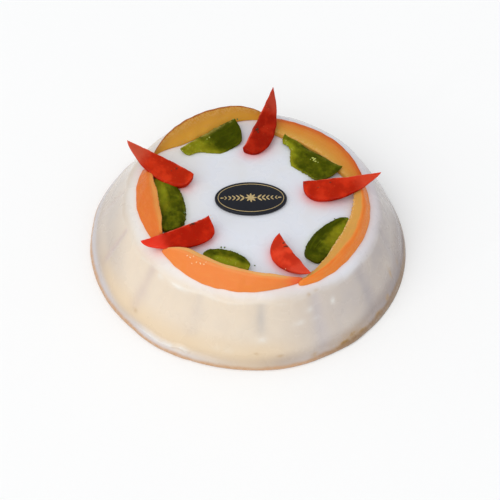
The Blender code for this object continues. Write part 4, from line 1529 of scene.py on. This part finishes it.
class CASSATA_OT_plaque(bpy.types.Operator):
    """Make the dark oval plaque with its plain gold ornament"""
    bl_idname = "cassata.plaque"
    bl_label = "Plaque"

    def execute(self, context):
        low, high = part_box("plaque")
        centre = (low + high) / 2
        thickness = high.z - low.z
        deselect_all()
        bpy.ops.mesh.primitive_cylinder_add(vertices=160, radius=0.5, depth=1.0)
        disc = newest("plaque_disc")
        disc.scale = (PLAQUE_LENGTH, PLAQUE_WIDTH, thickness)
        disc.rotation_euler.z = PLAQUE_TURN
        disc.location = centre
        apply_place(disc)
        edge = disc.modifiers.new("Edge", "BEVEL")
        edge.width = PLAQUE_EDGE
        edge.segments = 4
        edge.limit_method = "ANGLE"
        select([disc])
        bpy.ops.object.modifier_apply(modifier="Edge")
        smooth_shade(disc, 40)
        finish_piece(disc, make_plaque_material(), "plaque", "plaque")
        self.ornament(context.scene.cassata_plaque, Vector((centre.x, centre.y, high.z)))
        return {"FINISHED"}

    def ornament(self, sizes, middle):
        """Oval rule, a small rosette and two sprigs of leaves, in thin gold."""
        deselect_all()
        bpy.ops.mesh.primitive_torus_add(major_segments=160, minor_segments=8, major_radius=0.5,
                                         minor_radius=RULE_TUBE)
        rule = bpy.context.object
        length = PLAQUE_LENGTH / 2 - sizes.rule_inset
        width = PLAQUE_WIDTH / 2 - sizes.rule_inset
        for vertex in rule.data.vertices:
            flat = vertex.co.xy
            angle = math.atan2(flat.y, flat.x)
            off = (flat.length - 0.5) / RULE_TUBE * sizes.rule_width / 2
            vertex.co = ((length + off) * math.cos(angle), (width + off) * math.sin(angle),
                         vertex.co.z / RULE_TUBE * RULE_HEIGHT)
        parts = [rule] + self.rosette() + self.sprig(-1) + self.sprig(1)
        turn = Matrix.Rotation(PLAQUE_TURN, 4, "Z")
        for part in parts:
            part.data.transform(Matrix.Translation(middle) @ turn)
        piece = join(parts, "plaque_ornament")
        smooth_shade(piece, 60)
        finish_piece(piece, make_gold_material(), "plaque")

    def rosette(self):
        petals = []
        for step in range(PETAL_COUNT):
            angle = step * math.tau / PETAL_COUNT
            spot = Vector((math.cos(angle), math.sin(angle), 0.0)) * PETAL_DISTANCE
            petals.append(self.leaf(spot, angle, PETAL_SIZE))
        return petals + [self.leaf(Vector(), 0.0, MIDDLE_SIZE)]

    def sprig(self, side):
        """Pairs of leaves that get smaller outwards, on the left (-1) or the right (1)."""
        leaves = []
        for step in range(SPRIG_LEAVES):
            along = SPRIG_START + step * SPRIG_STEP
            size = 1.0 - SPRIG_TAPER * step
            for lean in (-1, 1):
                turn = lean * LEAF_TURN
                spot = Vector((side * along, lean * LEAF_OFFSET * size, 0.0))
                heading = turn if side > 0 else math.pi - turn
                leaves.append(self.leaf(spot, heading, LEAF_SIZE, size))
        return leaves + [self.leaf(Vector((side * SPRIG_END, 0.0, 0.0)), 0.0, END_LEAF_SIZE)]

    def leaf(self, spot, heading, leaf_size, scale=1.0):
        deselect_all()
        bpy.ops.mesh.primitive_uv_sphere_add(segments=16, ring_count=8, radius=0.5)
        leaf = bpy.context.object
        length, width = (size * scale for size in leaf_size)
        for vertex in leaf.data.vertices:
            point = 1.0 - LEAF_POINT * (vertex.co.x + 0.5)
            vertex.co = (vertex.co.x * length, vertex.co.y * width * point,
                         vertex.co.z * GOLD_HEIGHT)
        leaf.data.transform(Matrix.Translation(spot) @ Matrix.Rotation(heading, 4, "Z"))
        return leaf


# Stage

KEY_PLACE = (-0.68, -1.09, 1.53)
KEY_WIDTH = math.radians(70.0)
GLINT_PLACE = (-1.15, -0.80, 0.52)
GLINT_SIZE = 0.06
LIGHT_TARGET = Vector((0.0, 0.0, 0.03))
LIGHT_COLOUR = (1.0, 0.985, 0.96)
SKY_COLOUR = (0.95, 0.97, 1.0, 1.0)


class CASSATA_OT_studio(bpy.types.Operator):
    """Lay the pale floor and set the soft lights and the camera"""
    bl_idname = "cassata.studio"
    bl_label = "Studio"

    def execute(self, context):
        studio = context.scene.cassata_studio
        deselect_all()
        bpy.ops.mesh.primitive_plane_add(size=studio.floor_size)
        floor = newest("pale_floor")
        floor.data.materials.append(make_floor_material())
        key = self.light("key_light", "SUN", KEY_PLACE, studio.key_strength)
        key.angle = KEY_WIDTH
        glint = self.light("glint_light", "AREA", GLINT_PLACE, studio.glint_power)
        glint.size = GLINT_SIZE
        self.sky(context.scene, studio.sky)
        bpy.ops.object.camera_add()
        camera = newest("camera")
        camera.matrix_world = camera_matrix()
        camera.data.lens = CAMERA_LENS
        camera.data.sensor_width = SENSOR_WIDTH
        context.scene.camera = camera
        context.scene.view_settings.view_transform = "Standard"
        return {"FINISHED"}

    def light(self, name, kind, place, power):
        bpy.ops.object.light_add(type=kind, location=place)
        light = newest(name)
        aim = LIGHT_TARGET - Vector(place)
        light.rotation_euler = aim.to_track_quat("-Z", "Y").to_euler()
        light.data.energy = power
        light.data.color = LIGHT_COLOUR
        return light.data

    def sky(self, scene, strength):
        world = bpy.data.worlds.new("even_sky")
        scene.world = world
        world.use_nodes = True
        background = world.node_tree.nodes["Background"]
        background.inputs["Color"].default_value = SKY_COLOUR
        background.inputs["Strength"].default_value = strength


class CASSATA_PT_panel(bpy.types.Panel):
    """Buttons and settings of the cassata cake"""
    bl_idname = "CASSATA_PT_panel"
    bl_label = "Cassata Cake"
    bl_space_type = "VIEW_3D"
    bl_region_type = "UI"
    bl_category = "Cassata"

    def draw(self, context):
        for operator in OPERATORS:
            self.layout.operator(operator.bl_idname)
        for name, group in GROUPS.items():
            box = self.layout.box()
            for key in group.__annotations__:
                box.prop(getattr(context.scene, name), key)


# In the order in which the pieces are made
OPERATORS = (CASSATA_OT_inside, CASSATA_OT_peels, CASSATA_OT_green_pears, CASSATA_OT_red_pears,
             CASSATA_OT_glaze, CASSATA_OT_small_things, CASSATA_OT_plaque, CASSATA_OT_studio)
CLASSES = (*GROUPS.values(), *OPERATORS, CASSATA_PT_panel)


def register():
    for item in CLASSES:
        bpy.utils.register_class(item)
    for name, group in GROUPS.items():
        setattr(bpy.types.Scene, name, PointerProperty(type=group))


def unregister():
    for name in GROUPS:
        delattr(bpy.types.Scene, name)
    for item in reversed(CLASSES):
        bpy.utils.unregister_class(item)


def main():
    register()
    bpy.ops.cassata.inside()
    bpy.ops.cassata.peels()
    bpy.ops.cassata.green_pears()
    bpy.ops.cassata.red_pears()
    bpy.ops.cassata.glaze()
    bpy.ops.cassata.small_things()
    bpy.ops.cassata.plaque()
    bpy.ops.cassata.studio()


if __name__ == "__main__":
    main()
